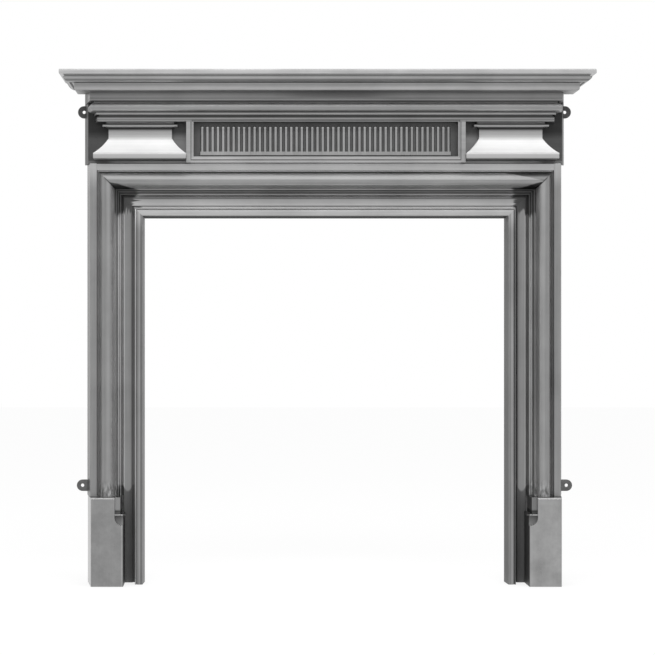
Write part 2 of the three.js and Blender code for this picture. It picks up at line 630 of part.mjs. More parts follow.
function plinth() {
  const pocketFoot = notchFoot - NOTCH_WIDTH - WALL;
  const body = alongHeight(plinthPlan(plinthInner), 0, PLINTH_HEIGHT);
  const hollow = alongHeight(hollowPlan(plinthInner + WALL), -OVERCUT, pocketFoot);
  const upperHollow = alongHeight(hollowPlan(notchOuter + WALL), pocketFoot - OVERCUT, PLINTH_HEIGHT - WALL);
  const pocket = block(plinthInner + WALL, notchOuter + 2 * WALL, -OVERCUT, notchFloor - WALL,
    pocketFoot - OVERCUT, ledgeTop - WALL);
  const upperPocket = block(plinthInner + NOTCH_TOP_INSET + WALL, notchOuter + 2 * WALL, -OVERCUT,
    notchFloor - WALL, pocketFoot, PLINTH_HEIGHT - WALL);

  // Notch in the face, ending below in a hollow quarter round
  const notch = [
    point(plinthInner - OVERCUT, PLINTH_HEIGHT + OVERCUT),
    point(notchOuter, PLINTH_HEIGHT + OVERCUT),
    ...arc(plinthInner, notchFoot, NOTCH_WIDTH, NOTCH_WIDTH, 0, -Math.PI / 2, CURVE_STEPS),
    point(plinthInner - OVERCUT, notchFoot - NOTCH_WIDTH),
  ];
  const setBack = block(plinthInner - OVERCUT, plinthInner + NOTCH_TOP_INSET, -OVERCUT, reach,
    ledgeTop, PLINTH_HEIGHT + OVERCUT);

  // Cove and ledge across the notch, with the ledge returned round the inner side
  const cove = [
    point(notchFloor - WALL, ledgeTop - LEDGE_HEIGHT),
    point(notchFloor + LEDGE_PROUD, ledgeTop - LEDGE_HEIGHT),
    point(notchFloor + LEDGE_PROUD, ledgeTop),
    ...hollowCurve(point(notchFloor + LEDGE_PROUD - 1, ledgeTop), point(notchFloor, ledgeTop),
      point(notchFloor, ledgeTop + COVE_RISE), CURVE_STEPS),
    point(notchFloor - WALL, ledgeTop + COVE_RISE),
  ];
  const coveBar = alongWidth(cove, plinthInner + NOTCH_TOP_INSET, notchOuter + WALL);
  const ledge = block(plinthInner - LEDGE_REACH, plinthInner + WALL, notchFloor - 4 * WALL,
    notchFloor + LEDGE_PROUD, ledgeTop - LEDGE_HEIGHT, ledgeTop);

  // Worn bevel along the top of the face
  const bevel = alongWidth([
    point(PLINTH_DEPTH - PLINTH_BEVEL, PLINTH_HEIGHT + OVERCUT),
    point(PLINTH_DEPTH - PLINTH_BEVEL, PLINTH_HEIGHT),
    point(PLINTH_DEPTH, PLINTH_HEIGHT - PLINTH_BEVEL),
    point(PLINTH_DEPTH + OVERCUT, PLINTH_HEIGHT - PLINTH_BEVEL),
    point(PLINTH_DEPTH + OVERCUT, PLINTH_HEIGHT + OVERCUT),
  ], notchOuter - OVERCUT, plinthSide(0) + OVERCUT);

  // Ears inside the outer wall for the screws, and the step over the jamb's recess
  const earOuter = plinthSide(plinthBack + PLINTH_EAR_THICKNESS) - WALL / 2;
  const ears = PLINTH_SCREW_HEIGHTS.map((z) => (
    block(plinthScrewX - PLINTH_EAR / 2, earOuter, plinthBack, plinthBack + PLINTH_EAR_THICKNESS,
      z - PLINTH_EAR / 2, z + PLINTH_EAR / 2)
  ));
  const earHoles = PLINTH_SCREW_HEIGHTS.map((z) => (
    hole(SCREW, at(plinthScrewX, 0, z), FORWARDS, plinthBack + PLINTH_EAR_THICKNESS - OVERCUT)
  ));
  const overRecess = block(plinthInner - OVERCUT, jambEdge + PLINTH_LAP, -OVERCUT, RECESS_DEPTH + SEAT,
    -OVERCUT, PLINTH_HEIGHT + OVERCUT);
  const overFlange = block(plinthInner - OVERCUT, plinthFlangeOuter + SEAT, -OVERCUT, plinthBack,
    -OVERCUT, PLINTH_HEIGHT + OVERCUT);
  const shell = cut(body, hollow, upperHollow, pocket, upperPocket, alongDepth(notch, notchFloor, reach),
    setBack, bevel);
  return cut(joined(shell, coveBar, ledge, ...ears), ...earHoles, overRecess, overFlange);
}

// ================= Frieze and its mouldings =================

const entablature = { depthShift: NECK_DEPTH - neckHalf, draft: NECK_DRAFT };

function friezeProfile() {
  const torusRadius = TORUS_HEIGHT / 2;
  const torusHalf = neckHalf - TORUS_INSET - torusRadius;
  const filletHalf = neckHalf - FILLET_INSET;
  const bandHalf = neckHalf - BAND_INSET;
  return [
    point(bandHalf - ARRIS, bandFoot),
    point(bandHalf, bandFoot + ARRIS),
    point(bandHalf, bandTop),
    point(bandHalf - MEMBER_RECESS, bandTop),
    point(bandHalf - MEMBER_RECESS, filletFoot),
    point(filletHalf, filletFoot),
    point(filletHalf, filletTop),
    point(filletHalf - MEMBER_RECESS, filletTop),
    ...arc(torusHalf, torusFoot + torusRadius, torusRadius, torusRadius, -Math.PI / 2, Math.PI / 2, ROLL_STEPS),
    point(torusHalf, neckFoot),
    point(neckHalf, neckFoot),
    point(neckHalf, neckTop),
  ];
}

// Hollow behind the mouldings, one wall in
function friezeHollow() {
  const torusRadius = TORUS_HEIGHT / 2;
  const torusHalf = neckHalf - TORUS_INSET - torusRadius;
  const torusBack = torusHalf - WALL;
  const bandBack = neckHalf - BAND_INSET - MEMBER_RECESS - WALL;
  return [
    point(bandBack, bandFoot + WALL),
    point(bandBack, torusFoot - FILLET_GAP),
    point(torusBack, torusFoot),
    ...arc(torusHalf, torusFoot + torusRadius, torusRadius - WALL, torusRadius - WALL,
      -Math.PI / 2, Math.PI / 2, BEAD_STEPS),
    point(torusBack, neckFoot),
    point(torusBack, neckFoot + WALL),
    point(neckHalf - WALL, neckFoot + 2 * WALL),
    point(neckHalf - WALL, neckTop - WALL),
  ];
}

const fieldHalf = neckHalf + NECK_DRAFT - FIELD_SPREAD;
const fieldEdge = { depthShift: FIELD_DEPTH - fieldHalf, draft: FIELD_SPREAD * NECK_DEPTH / FIELD_DEPTH };
const openBack = { back: -OVERCUT };

function panelScrewSeats(x) {
  return PANEL_SCREW_DROPS.map((drop) => (
    at(x, PANEL_FLOOR_DEPTH - PANEL_PLATE - SEAT, bandFoot - drop)
  ));
}

const panelScrewX = panelWindowHalf + PANEL_SCREW_INSET;
const allPanelScrewSeats = [-panelScrewX, panelScrewX].flatMap(panelScrewSeats);
const panelScrewLength = 2 * PANEL_PLATE + SEAT;

function blockScrewSeats(centre) {
  return [-BLOCK_SCREW_OFFSET, BLOCK_SCREW_OFFSET].map((offset) => (
    at(centre + offset, FIELD_DEPTH - WALL - SEAT, bandFoot - BLOCK_SCREW_DROP)
  ));
}

const allBlockScrewSeats = [-blockCentre, blockCentre].flatMap(blockScrewSeats);
const blockScrewLength = 4 * WALL;

const shelfBossFoot = neckTop + SEAT;
const shelfBoltHead = neckTop - WALL - SEAT;
const shelfBoltLength = SEAT + WALL + SEAT + 2 * WALL;

function frieze() {
  const mouldings = returned(friezeProfile(), entablature);
  const fieldPlate = returned([point(fieldHalf, frameTop + SEAT), point(fieldHalf, neckFoot + WALL)], fieldEdge);
  const panelFrame = block(-panelHalf, panelHalf, 0, bandDepth, frameTop + SEAT, bandFoot + WALL);

  const hollow = returned(friezeHollow(), { ...entablature, ...openBack });
  const fieldHollow = returned([
    point(fieldHalf - WALL, frameTop + SEAT + WALL),
    point(fieldHalf - WALL, neckFoot + WALL),
  ], { ...fieldEdge, ...openBack });
  const panelHollow = block(-panelHalf + WALL, panelHalf - WALL, -OVERCUT, PANEL_FLOOR_DEPTH + SEAT,
    frameTop + SEAT + WALL, bandFoot + 2 * WALL);

  const window = block(-panelWindowHalf, panelWindowHalf, -OVERCUT, reach, panelWindowFoot, bandFoot);
  const windowStep = block(-panelWindowHalf - PANEL_BEAD, panelWindowHalf + PANEL_BEAD,
    bandDepth - PANEL_BEAD, reach, panelWindowFoot - PANEL_BEAD, bandFoot + PANEL_BEAD);

  const bosses = lugBoss(topLug, fieldHalf + WALL);
  const notch = lugNotch(topLug);
  const lugHole = lugScrewHole(topLug);
  const shelfHoles = SHELF_BOLT_PLACES.map((x) => (
    hole(BOLT, at(x, SHELF_BOLT_DEPTH, neckTop - 2 * WALL), UP, 3 * WALL)
  ));
  const blockHoles = allBlockScrewSeats.map((seat) => (
    hole(SCREW, seat.clone().addScaledVector(FORWARDS, -OVERCUT), FORWARDS, blockScrewLength)
  ));
  const panelHoles = allPanelScrewSeats.map((seat) => (
    hole(PANEL_SCREW, seat, FORWARDS, panelScrewLength + OVERCUT)
  ));
  const casting = cut(joined(mouldings, fieldPlate, panelFrame), hollow, fieldHollow, panelHollow);
  return cut(
    joined(casting, bosses, mirrored(bosses)),
    window, windowStep, notch, mirrored(notch), lugHole, mirrored(lugHole),
    ...friezeHoles(), ...shelfHoles, ...blockHoles, ...panelHoles,
  );
}

// ================= Reeded panel =================

const plateFoot = frameTop + SEAT + WALL + PANEL_PLATE_GAP;
const plateTop = bandFoot + WALL;

// One reed: a round bar with a domed top, of which the plate leaves half showing
function reed(x) {
  const straight = REED_TOP - REED_BOTTOM - REED_RADIUS;
  const profile = [
    point(0, 0),
    point(REED_RADIUS, 0),
    ...arc(0, straight, REED_RADIUS, REED_RADIUS, 0, Math.PI / 2, REED_DOME_STEPS),
  ];
  return toSolid(new THREE.LatheGeometry(profile, REED_SIDES), onAxis(
    at(x, PANEL_FLOOR_DEPTH, frameTop + REED_BOTTOM), UP));
}

function reededPanel() {
  const plate = block(-plateHalf, plateHalf, PANEL_FLOOR_DEPTH - PANEL_PLATE, PANEL_FLOOR_DEPTH,
    plateFoot, plateTop);
  const first = -REED_PITCH * (REED_COUNT - 1) / 2;
  const reeds = Array.from({ length: REED_COUNT }, (_, i) => reed(first + i * REED_PITCH));
  const railHalf = -first + REED_RADIUS;
  const baseRail = block(-railHalf, railHalf, PANEL_FLOOR_DEPTH - SEAT, PANEL_FLOOR_DEPTH + BASE_RAIL_PROUD,
    frameTop + BASE_RAIL_BOTTOM, frameTop + BASE_RAIL_BOTTOM + BASE_RAIL_HEIGHT);
  const front = block(-plateHalf, plateHalf, PANEL_FLOOR_DEPTH - PANEL_PLATE / 2, reach, frameTop, neckTop);
  const holes = allPanelScrewSeats.map((seat) => hole(PANEL_SCREW, seat, FORWARDS, 3 * PANEL_PLATE));
  return cut(joined(plate, joined(...reeds).intersect(front), baseRail), ...holes);
}

// ================= Corner blocks =================

function cornerBlock(centre) {
  const foot = frameTop + BLOCK_GAP;
  const top = bandFoot - SEAT;
  const capTop = bandFoot - BLOCK_CAP_DROP;
  const capFoot = capTop - BLOCK_CAP_HEIGHT;
  const neckEnd = capFoot - BLOCK_NECK_HEIGHT - BLOCK_CAP_INSET;
  const flareFoot = foot + BLOCK_FOOT_HEIGHT;
  const slopeMiddle = (BLOCK_FOOT_HALF + BLOCK_NECK_HALF) / 2 - BLOCK_SLOPE_SAG;
  const slopeWall = WALL * Math.SQRT2;         // measured across, on a slope of about 45 degrees
  const slope = (inset) => hollowCurve(
    point(BLOCK_FOOT_HALF - inset, flareFoot),
    point(slopeMiddle - inset, (flareFoot + neckEnd) / 2 - BLOCK_SLOPE_SAG),
    point(BLOCK_NECK_HALF - inset, neckEnd),
    CURVE_STEPS,
  );
  const shoulder = BLOCK_NECK_HALF + BLOCK_CAP_INSET;
  const outer = [
    point(BLOCK_FOOT_HALF - ARRIS, foot),
    point(BLOCK_FOOT_HALF, foot + ARRIS),
    ...slope(0),
    point(BLOCK_NECK_HALF, capFoot - BLOCK_CAP_INSET),
    point(shoulder, capFoot),
    point(BLOCK_CAP_HALF, capFoot),
    point(BLOCK_CAP_HALF, capTop),
    point(shoulder, capTop),
    point(shoulder, top),
  ];
  const inner = [
    point(BLOCK_FOOT_HALF - slopeWall, foot + WALL),
    ...slope(slopeWall),
    point(BLOCK_NECK_HALF - slopeWall, top - WALL),
  ];

  const plan = { depthShift: BLOCK_NECK_DEPTH - BLOCK_NECK_HALF, draft: 0, centre };
  const filled = returned(outer, { ...plan, back: FIELD_DEPTH + SEAT });
  const shell = cut(filled, returned(inner, { ...plan, back: FIELD_DEPTH + SEAT - OVERCUT }));
  const bosses = blockScrewSeats(centre).map((seat) => (
    bar(BLOCK_BOSS / 2, at(seat.x, FIELD_DEPTH + SEAT, seat.z), FORWARDS, BLOCK_FOOT_HALF).intersect(filled)
  ));
  const holes = blockScrewSeats(centre).map((seat) => hole(SCREW, seat, FORWARDS, blockScrewLength + ARRIS));
  return cut(joined(shell, ...bosses), ...holes);
}

// ================= Shelf =================

const shelfPlan = { depthShift: NECK_DEPTH - neckHalf, draft: 0 };
const corniceHalf = neckHalf + CORNICE_PROJECTION;
const coveHalf = neckHalf + COVE_PROJECTION;
const fasciaHalf = neckHalf + FASCIA_PROJECTION;

function shelfProfile() {
  const nosing = neckHalf + NOSING_PROJECTION;
  const ovolo = neckHalf + OVOLO_PROJECTION;
  const swell = point((ovolo + fasciaHalf) / 2 + OVOLO_SWELL, (corniceTop + fasciaFoot) / 2 - OVOLO_SWELL);
  return [
    ...arc(corniceHalf - CORNICE_ROUND, corniceFoot + CORNICE_ROUND, CORNICE_ROUND, CORNICE_ROUND,
      -Math.PI / 2, 0, BEAD_STEPS),
    ...hollowCurve(point(corniceHalf, corniceTop - COVE_HEIGHT), point(corniceHalf, corniceTop),
      point(coveHalf, corniceTop), CURVE_STEPS),
    ...hollowCurve(point(ovolo, corniceTop), swell, point(fasciaHalf, fasciaFoot), CURVE_STEPS),
    point(fasciaHalf, fasciaTop),
    point(fasciaHalf - MEMBER_RECESS, fasciaTop),
    point(fasciaHalf - MEMBER_RECESS, nosingFoot),
    point(nosing - ARRIS, nosingFoot),
    point(nosing, nosingFoot + ARRIS),
    point(nosing, shelfTop - ARRIS),
    point(nosing - ARRIS, shelfTop),
  ];
}

function shelfHollow() {
  return [
    point(corniceHalf - WALL, corniceFoot + WALL),
    point(corniceHalf - WALL, corniceTop - COVE_HEIGHT),
    point(coveHalf - WALL, corniceTop + WALL),
    point(fasciaHalf - 2 * WALL, fasciaFoot + WALL),
    point(fasciaHalf - 2 * WALL, shelfTop - SHELF_TOP_WALL),
  ];
}

// Where the cornice's return stops short of the wall: the space behind it, and the plates that close
// the hollow over that space and in front of it
function returnSpace() {
  return block(neckHalf, neckHalf + NOSING_PROJECTION, -OVERCUT, CORNICE_RETURN_DEPTH,
    corniceFoot - OVERCUT, corniceTop);
}

function returnPlates() {
  return joined(
    block(neckHalf, coveHalf, 0, CORNICE_RETURN_DEPTH + WALL, corniceTop, corniceTop + WALL),
    block(neckHalf, corniceHalf - CORNICE_ROUND, CORNICE_RETURN_DEPTH, CORNICE_RETURN_DEPTH + WALL,
      corniceFoot + WALL / 2, corniceTop + WALL),
  );
}

function mantelShelf() {
  const moulding = cut(
    returned(shelfProfile(), shelfPlan),
    returned(shelfHollow(), { ...shelfPlan, ...openBack }),
    returnSpace(), mirrored(returnSpace()),
  );
  const neckSpace = returned([
    point(neckHalf + 2 * SEAT, corniceFoot - OVERCUT),
    point(neckHalf + 2 * SEAT, neckTop + SEAT),
  ], { ...entablature, ...openBack });
  const shell = cut(joined(moulding, returnPlates(), mirrored(returnPlates())), neckSpace);
  const topPlateFoot = shelfTop - SHELF_TOP_WALL;
  const ribs = RIB_PLACES.map((x) => (
    block(x - WALL / 2, x + WALL / 2, 0, RIB_DEPTH, shelfBossFoot, topPlateFoot + OVERCUT)
  ));
  const bosses = SHELF_BOLT_PLACES.map((x) => (
    bar(SHELF_BOSS / 2, at(x, SHELF_BOLT_DEPTH, shelfBossFoot), UP, topPlateFoot - shelfBossFoot + OVERCUT)
  ));
  const holes = SHELF_BOLT_PLACES.map((x) => (
    hole(BOLT, at(x, SHELF_BOLT_DEPTH, shelfBossFoot - OVERCUT), UP, 2 * WALL + 2 * OVERCUT)
  ));
  return cut(joined(shell, ...ribs, ...bosses), ...holes);
}

// ================= Lugs =================

function lug({ centre, radius, inner, height }) {
  const outline = [
    point(inner, height - radius),
    ...arc(centre, height, radius, radius, -Math.PI / 2, Math.PI / 2, ROLL_STEPS),
    point(inner, height + radius),
  ];
  const screwX = inner + LUG_SCREW_INSET;
  return cut(
    alongDepth(outline, 0, LUG_THICKNESS),
    bar(LUG_HOLE / 2, at(centre, -OVERCUT, height), FORWARDS, LUG_THICKNESS + 2 * OVERCUT),
    hole(SCREW, at(screwX, -OVERCUT, height), FORWARDS, LUG_THICKNESS + 2 * OVERCUT),
    countersink(at(screwX, 0, height)),
  );
}

// The lug's screw lies flush with the back: the cone under its head, and the seat cut for it
function cone(wide, narrow) {
  const depth = (SCREW.head - SCREW.shank) / 2;
  return new THREE.CylinderGeometry(narrow, wide, depth, HOLE_SIDES).translate(0, depth / 2, 0);
}

function countersink(start) {
  const wide = SCREW.head / 2 + SEAT;
  return joined(
    toSolid(cone(wide, SCREW.shank / 2 + SEAT), onAxis(start, FORWARDS)),
    bar(wide, start.clone().addScaledVector(FORWARDS, -OVERCUT), FORWARDS, OVERCUT, HOLE_SIDES),
  );
}

function countersunkScrew(length) {
  return joined(
    toSolid(cone(SCREW.head / 2, SCREW.shank / 2), onAxis(new THREE.Vector3(), UP)),
    bar(SCREW.shank / 2, new THREE.Vector3(), UP, length, HOLE_SIDES),
  );
}

// ================= Assembly =================

const SIDES = [{ name: 'left', sign: -1 }, { name: 'right', sign: 1 }];

// A piece and its mirror image, made from the right-hand one
function addPair(name, solid, material) {
  addPart(`${name}_right`, solid, material);
  addPart(`${name}_left`, mirrored(solid), material);
}

addPart('mantel_shelf', mantelShelf(), polishedIron);
addPart('frieze', frieze(), polishedIron);
addPart('reeded_panel', reededPanel(), polishedIron);
addPart('header', header(), polishedIron);
addPair('corner_block', cornerBlock(blockCentre), polishedIron);
addPair('jamb', jamb(), polishedIron);
addPair('plinth', plinth(), polishedIron);
addPair('lug_top', lug(topLug), castIron);
addPair('lug_bottom', lug(bottomLug), castIron);

// Shelf bolts, from under the frieze's top flange
SHELF_BOLT_PLACES.forEach((x, i) => {
  const seat = at(x, SHELF_BOLT_DEPTH, neckTop - WALL - SEAT);
  placeFastener(`shelf_bolt_${i + 1}`, boltSolid(BOLT, shelfBoltLength), seat, UP);
});

// Frieze to header, through both flanges
const throughBoltLength = 3 * SEAT + 2 * WALL + SEAT + BOLT.nutHeight + OVERCUT;
FRIEZE_BOLT_PLACES.forEach((x, i) => {
  const headSeat = at(x, FRIEZE_BOLT_DEPTH, frameTop + WALL + 2 * SEAT);
  const nutSeat = at(x, FRIEZE_BOLT_DEPTH, frameTop - WALL - SEAT);
  placeFastener(`frieze_bolt_${i + 1}`, boltSolid(BOLT, throughBoltLength), headSeat, DOWN);
  placeFastener(`frieze_nut_${i + 1}`, nutSolid(BOLT), nutSeat, DOWN);
});

SIDES.forEach(({ name, sign }) => {
  const across = (v) => new THREE.Vector3(sign * v.x, v.y, v.z);

  // Header to jamb, square to the mitre
  const mitreDirection = across(mitreNormal);
  mitreBoltSeats.forEach((middle, i) => {
    const headSeat = across(middle).addScaledVector(mitreDirection, -WALL - 2 * SEAT);
    const nutSeat = across(middle).addScaledVector(mitreDirection, WALL + SEAT);
    placeFastener(`mitre_bolt_${name}_${i + 1}`, boltSolid(BOLT, throughBoltLength), headSeat, mitreDirection);
    placeFastener(`mitre_nut_${name}_${i + 1}`, nutSolid(BOLT), nutSeat, mitreDirection);
  });

  // Jamb flange to plinth
  const plinthScrewLength = 2 * SEAT + WALL + PLINTH_EAR_THICKNESS - 2 * OVERCUT;
  PLINTH_SCREW_HEIGHTS.forEach((z, i) => {
    const seat = at(sign * plinthScrewX, PLINTH_FLANGE_SETBACK - SEAT, z);
    placeFastener(`plinth_screw_${name}_${i + 1}`, boltSolid(SCREW, plinthScrewLength), seat, FORWARDS);
  });

  blockScrewSeats(sign * blockCentre).forEach((seat, i) => {
    placeFastener(`block_screw_${name}_${i + 1}`, boltSolid(SCREW, blockScrewLength - OVERCUT), seat, FORWARDS);
  });

  panelScrewSeats(sign * panelScrewX).forEach((seat, i) => {
    placeFastener(`panel_screw_${name}_${i + 1}`, boltSolid(PANEL_SCREW, panelScrewLength), seat, FORWARDS);
  });

  [['top', topLug], ['bottom', bottomLug]].forEach(([level, size]) => {
    const seat = at(sign * (size.inner + LUG_SCREW_INSET), 0, size.height);
    const length = LUG_THICKNESS + LUG_BOSS - 2 * OVERCUT;
    placeFastener(`lug_screw_${level}_${name}`, countersunkScrew(length), seat, FORWARDS);
  });
});

export default assembly;
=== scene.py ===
# Looks of a polished cast iron fireplace surround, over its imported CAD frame.
# Metres. +X is to the viewer's right, +Z up, and the front faces -Y.
import math

import bmesh
import bpy
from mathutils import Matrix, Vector
from mathutils.bvhtree import BVHTree


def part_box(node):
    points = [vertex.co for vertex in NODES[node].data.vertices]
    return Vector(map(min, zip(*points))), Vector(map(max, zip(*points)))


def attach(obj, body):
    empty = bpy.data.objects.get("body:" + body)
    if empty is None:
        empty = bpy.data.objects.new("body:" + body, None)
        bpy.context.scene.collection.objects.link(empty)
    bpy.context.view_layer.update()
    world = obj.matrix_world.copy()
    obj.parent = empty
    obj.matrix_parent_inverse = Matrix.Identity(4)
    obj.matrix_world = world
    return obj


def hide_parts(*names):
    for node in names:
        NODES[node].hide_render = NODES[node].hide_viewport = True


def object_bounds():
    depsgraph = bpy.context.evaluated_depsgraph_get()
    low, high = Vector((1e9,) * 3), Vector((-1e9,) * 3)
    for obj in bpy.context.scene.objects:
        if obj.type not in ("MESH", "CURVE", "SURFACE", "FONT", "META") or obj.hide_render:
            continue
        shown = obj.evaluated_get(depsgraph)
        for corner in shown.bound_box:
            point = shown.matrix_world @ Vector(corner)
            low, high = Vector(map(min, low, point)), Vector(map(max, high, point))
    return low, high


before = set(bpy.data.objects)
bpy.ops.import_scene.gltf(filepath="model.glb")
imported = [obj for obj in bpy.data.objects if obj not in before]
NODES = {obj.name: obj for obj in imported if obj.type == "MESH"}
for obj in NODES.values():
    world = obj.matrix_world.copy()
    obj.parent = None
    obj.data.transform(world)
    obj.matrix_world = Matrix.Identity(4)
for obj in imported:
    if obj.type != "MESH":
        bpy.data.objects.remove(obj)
cad_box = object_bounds()

# ---- Camera, at the photograph's place ----
CAMERA_PLACE = (-0.219, -4.515, 0.611)
CAMERA_LENS = 100.0
CAMERA_SENSOR = 36.0
CAMERA_SHIFT = (0.137, 0.019)
CAMERA_REACH = 60.0

scene = bpy.context.scene
scene.view_settings.view_transform = "Standard"


def add_camera():
    data = bpy.data.cameras.new("camera")
    data.lens = CAMERA_LENS
    data.sensor_width = CAMERA_SENSOR
    data.shift_x, data.shift_y = CAMERA_SHIFT
    data.clip_end = CAMERA_REACH
    camera = bpy.data.objects.new("camera", data)
    camera.location = CAMERA_PLACE
    camera.rotation_euler = (math.radians(90.0), 0.0, 0.0)
    scene.collection.objects.link(camera)
    scene.camera = camera


add_camera()

# ---- Places on the object that the materials follow ----
WALL_Y = cad_box[1][1]
SHELF_TOP = cad_box[1][2]
JAMB_START, JAMB_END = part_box("jamb_right")
BLOCK_START, BLOCK_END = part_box("corner_block_right")
PLINTH_START, PLINTH_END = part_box("plinth_right")
FRAME_TOP = JAMB_END[2]
HEADER_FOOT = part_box("header")[0][2]
CORNICE_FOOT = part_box("mantel_shelf")[0][2]
REVEAL_SPREAD = 0.003            # how far the opening narrows towards the wall
FRAME_WIDTH = FRAME_TOP - HEADER_FOOT - REVEAL_SPREAD
FRAME_HALF = JAMB_START[0] + REVEAL_SPREAD + FRAME_WIDTH
SIDE_SPREAD = JAMB_END[0] - FRAME_HALF      # how far the outer sides spread towards the wall
RIM_FADE = (WALL_Y - 0.006, WALL_Y - 0.001)

# Members of the frame, by their distance in from its outer arris
MARGIN = 0.017
ROLL_START = MARGIN + 0.011
ROLL_END = ROLL_START + 0.031
BEAD_ONE = ROLL_END + 0.0055
BEAD_TWO = BEAD_ONE + 0.011
SLIP_START = FRAME_WIDTH - 0.019
SLIP_GROOVE = SLIP_START + 0.005

# Plinths: the notch in the face and the small ledge across it
PLINTH_TOP = PLINTH_END[2]
PLINTH_FRONT = PLINTH_START[1]
PLINTH_OUTSIDE = FRAME_HALF - 0.005
PLINTH_INSIDE = PLINTH_OUTSIDE - 0.080
NOTCH_SIDE = PLINTH_INSIDE + 0.0205
NOTCH_FLOOR = PLINTH_FRONT + 0.012
LEDGE_TOP = PLINTH_TOP - 0.041
LEDGE_FOOT = LEDGE_TOP - 0.003
COVE_TOP = LEDGE_TOP + 0.014

# Members of the entablature, by height
BAND_FOOT = FRAME_TOP + 0.1015
BAND_TOP = BAND_FOOT + 0.012
FILLET_FOOT = BAND_TOP + 0.005
FILLET_TOP = FILLET_FOOT + 0.005
TORUS_FOOT = FILLET_TOP + 0.0032
TORUS_TOP = TORUS_FOOT + 0.0198
NECK_FOOT = TORUS_TOP + 0.005
SOFFIT = CORNICE_FOOT + 0.0182
COVE_FOOT = SOFFIT - 0.0045
NOSING_FOOT = SHELF_TOP - 0.012
FASCIA_TOP = NOSING_FOOT - 0.0045

# Flat parts of the frieze
FIELD_Y = WALL_Y - 0.040
FRIEZE_END = FRAME_HALF + 0.005

# Centre panel: a fine groove runs down its frame's stiles and along the lower rail
PANEL_FRONT = WALL_Y - 0.082
PANEL_FLOOR = WALL_Y - 0.052
PANEL_HALF = BLOCK_START[0]      # a corner block's foot starts where the panel's frame ends
WINDOW_FOOT = FRAME_TOP + 0.015
GROOVE_SIDE = (PANEL_HALF - 0.0131, PANEL_HALF - 0.0115)
GROOVE_RAIL = (FRAME_TOP + 0.0056, FRAME_TOP + 0.0072)
GROOVE_CUT = 0.0015
REED_DOME = FRAME_TOP + 0.088

# Parts of a corner block, by height
BLOCK_FOOT = BLOCK_START[2]
BLOCK_TOP = BLOCK_END[2]
SLOPE_FOOT = BLOCK_FOOT + 0.014
SLOPE_TOP = SLOPE_FOOT + 0.040
CAP_TOP = BAND_FOOT - 0.0058
CAP_FOOT = CAP_TOP - 0.005

# ================= Material nodes =================

class Tree:
    """A small builder for a node tree."""

    def __init__(self, tree):
        self.tree = tree
        self.tree.nodes.clear()

    def add(self, kind, **settings):
        node = self.tree.nodes.new(kind)
        for key, value in settings.items():
            setattr(node, key, value)
        return node

    def link(self, source, target):
        self.tree.links.new(source, target)

    def feed(self, socket, value):
        if isinstance(value, bpy.types.NodeSocket):
            self.link(value, socket)
        else:
            socket.default_value = value

    def math(self, operation, a, b=0.0, c=0.0):
        node = self.add("ShaderNodeMath", operation=operation)
        for socket, value in zip(node.inputs, (a, b, c)):
            self.feed(socket, value)
        return node.outputs[0]

    def times(self, first, *others):
        product = first
        for factor in others:
            product = self.math("MULTIPLY", product, factor)
        return product

    def seen_directly(self):
        """1 for camera, glossy and transmission rays, and 0 for all others."""
        path = self.add("ShaderNodeLightPath")
        seen = self.math("MAXIMUM", path.outputs["Is Glossy Ray"], path.outputs["Is Transmission Ray"])
        return self.math("MAXIMUM", path.outputs["Is Camera Ray"], seen)


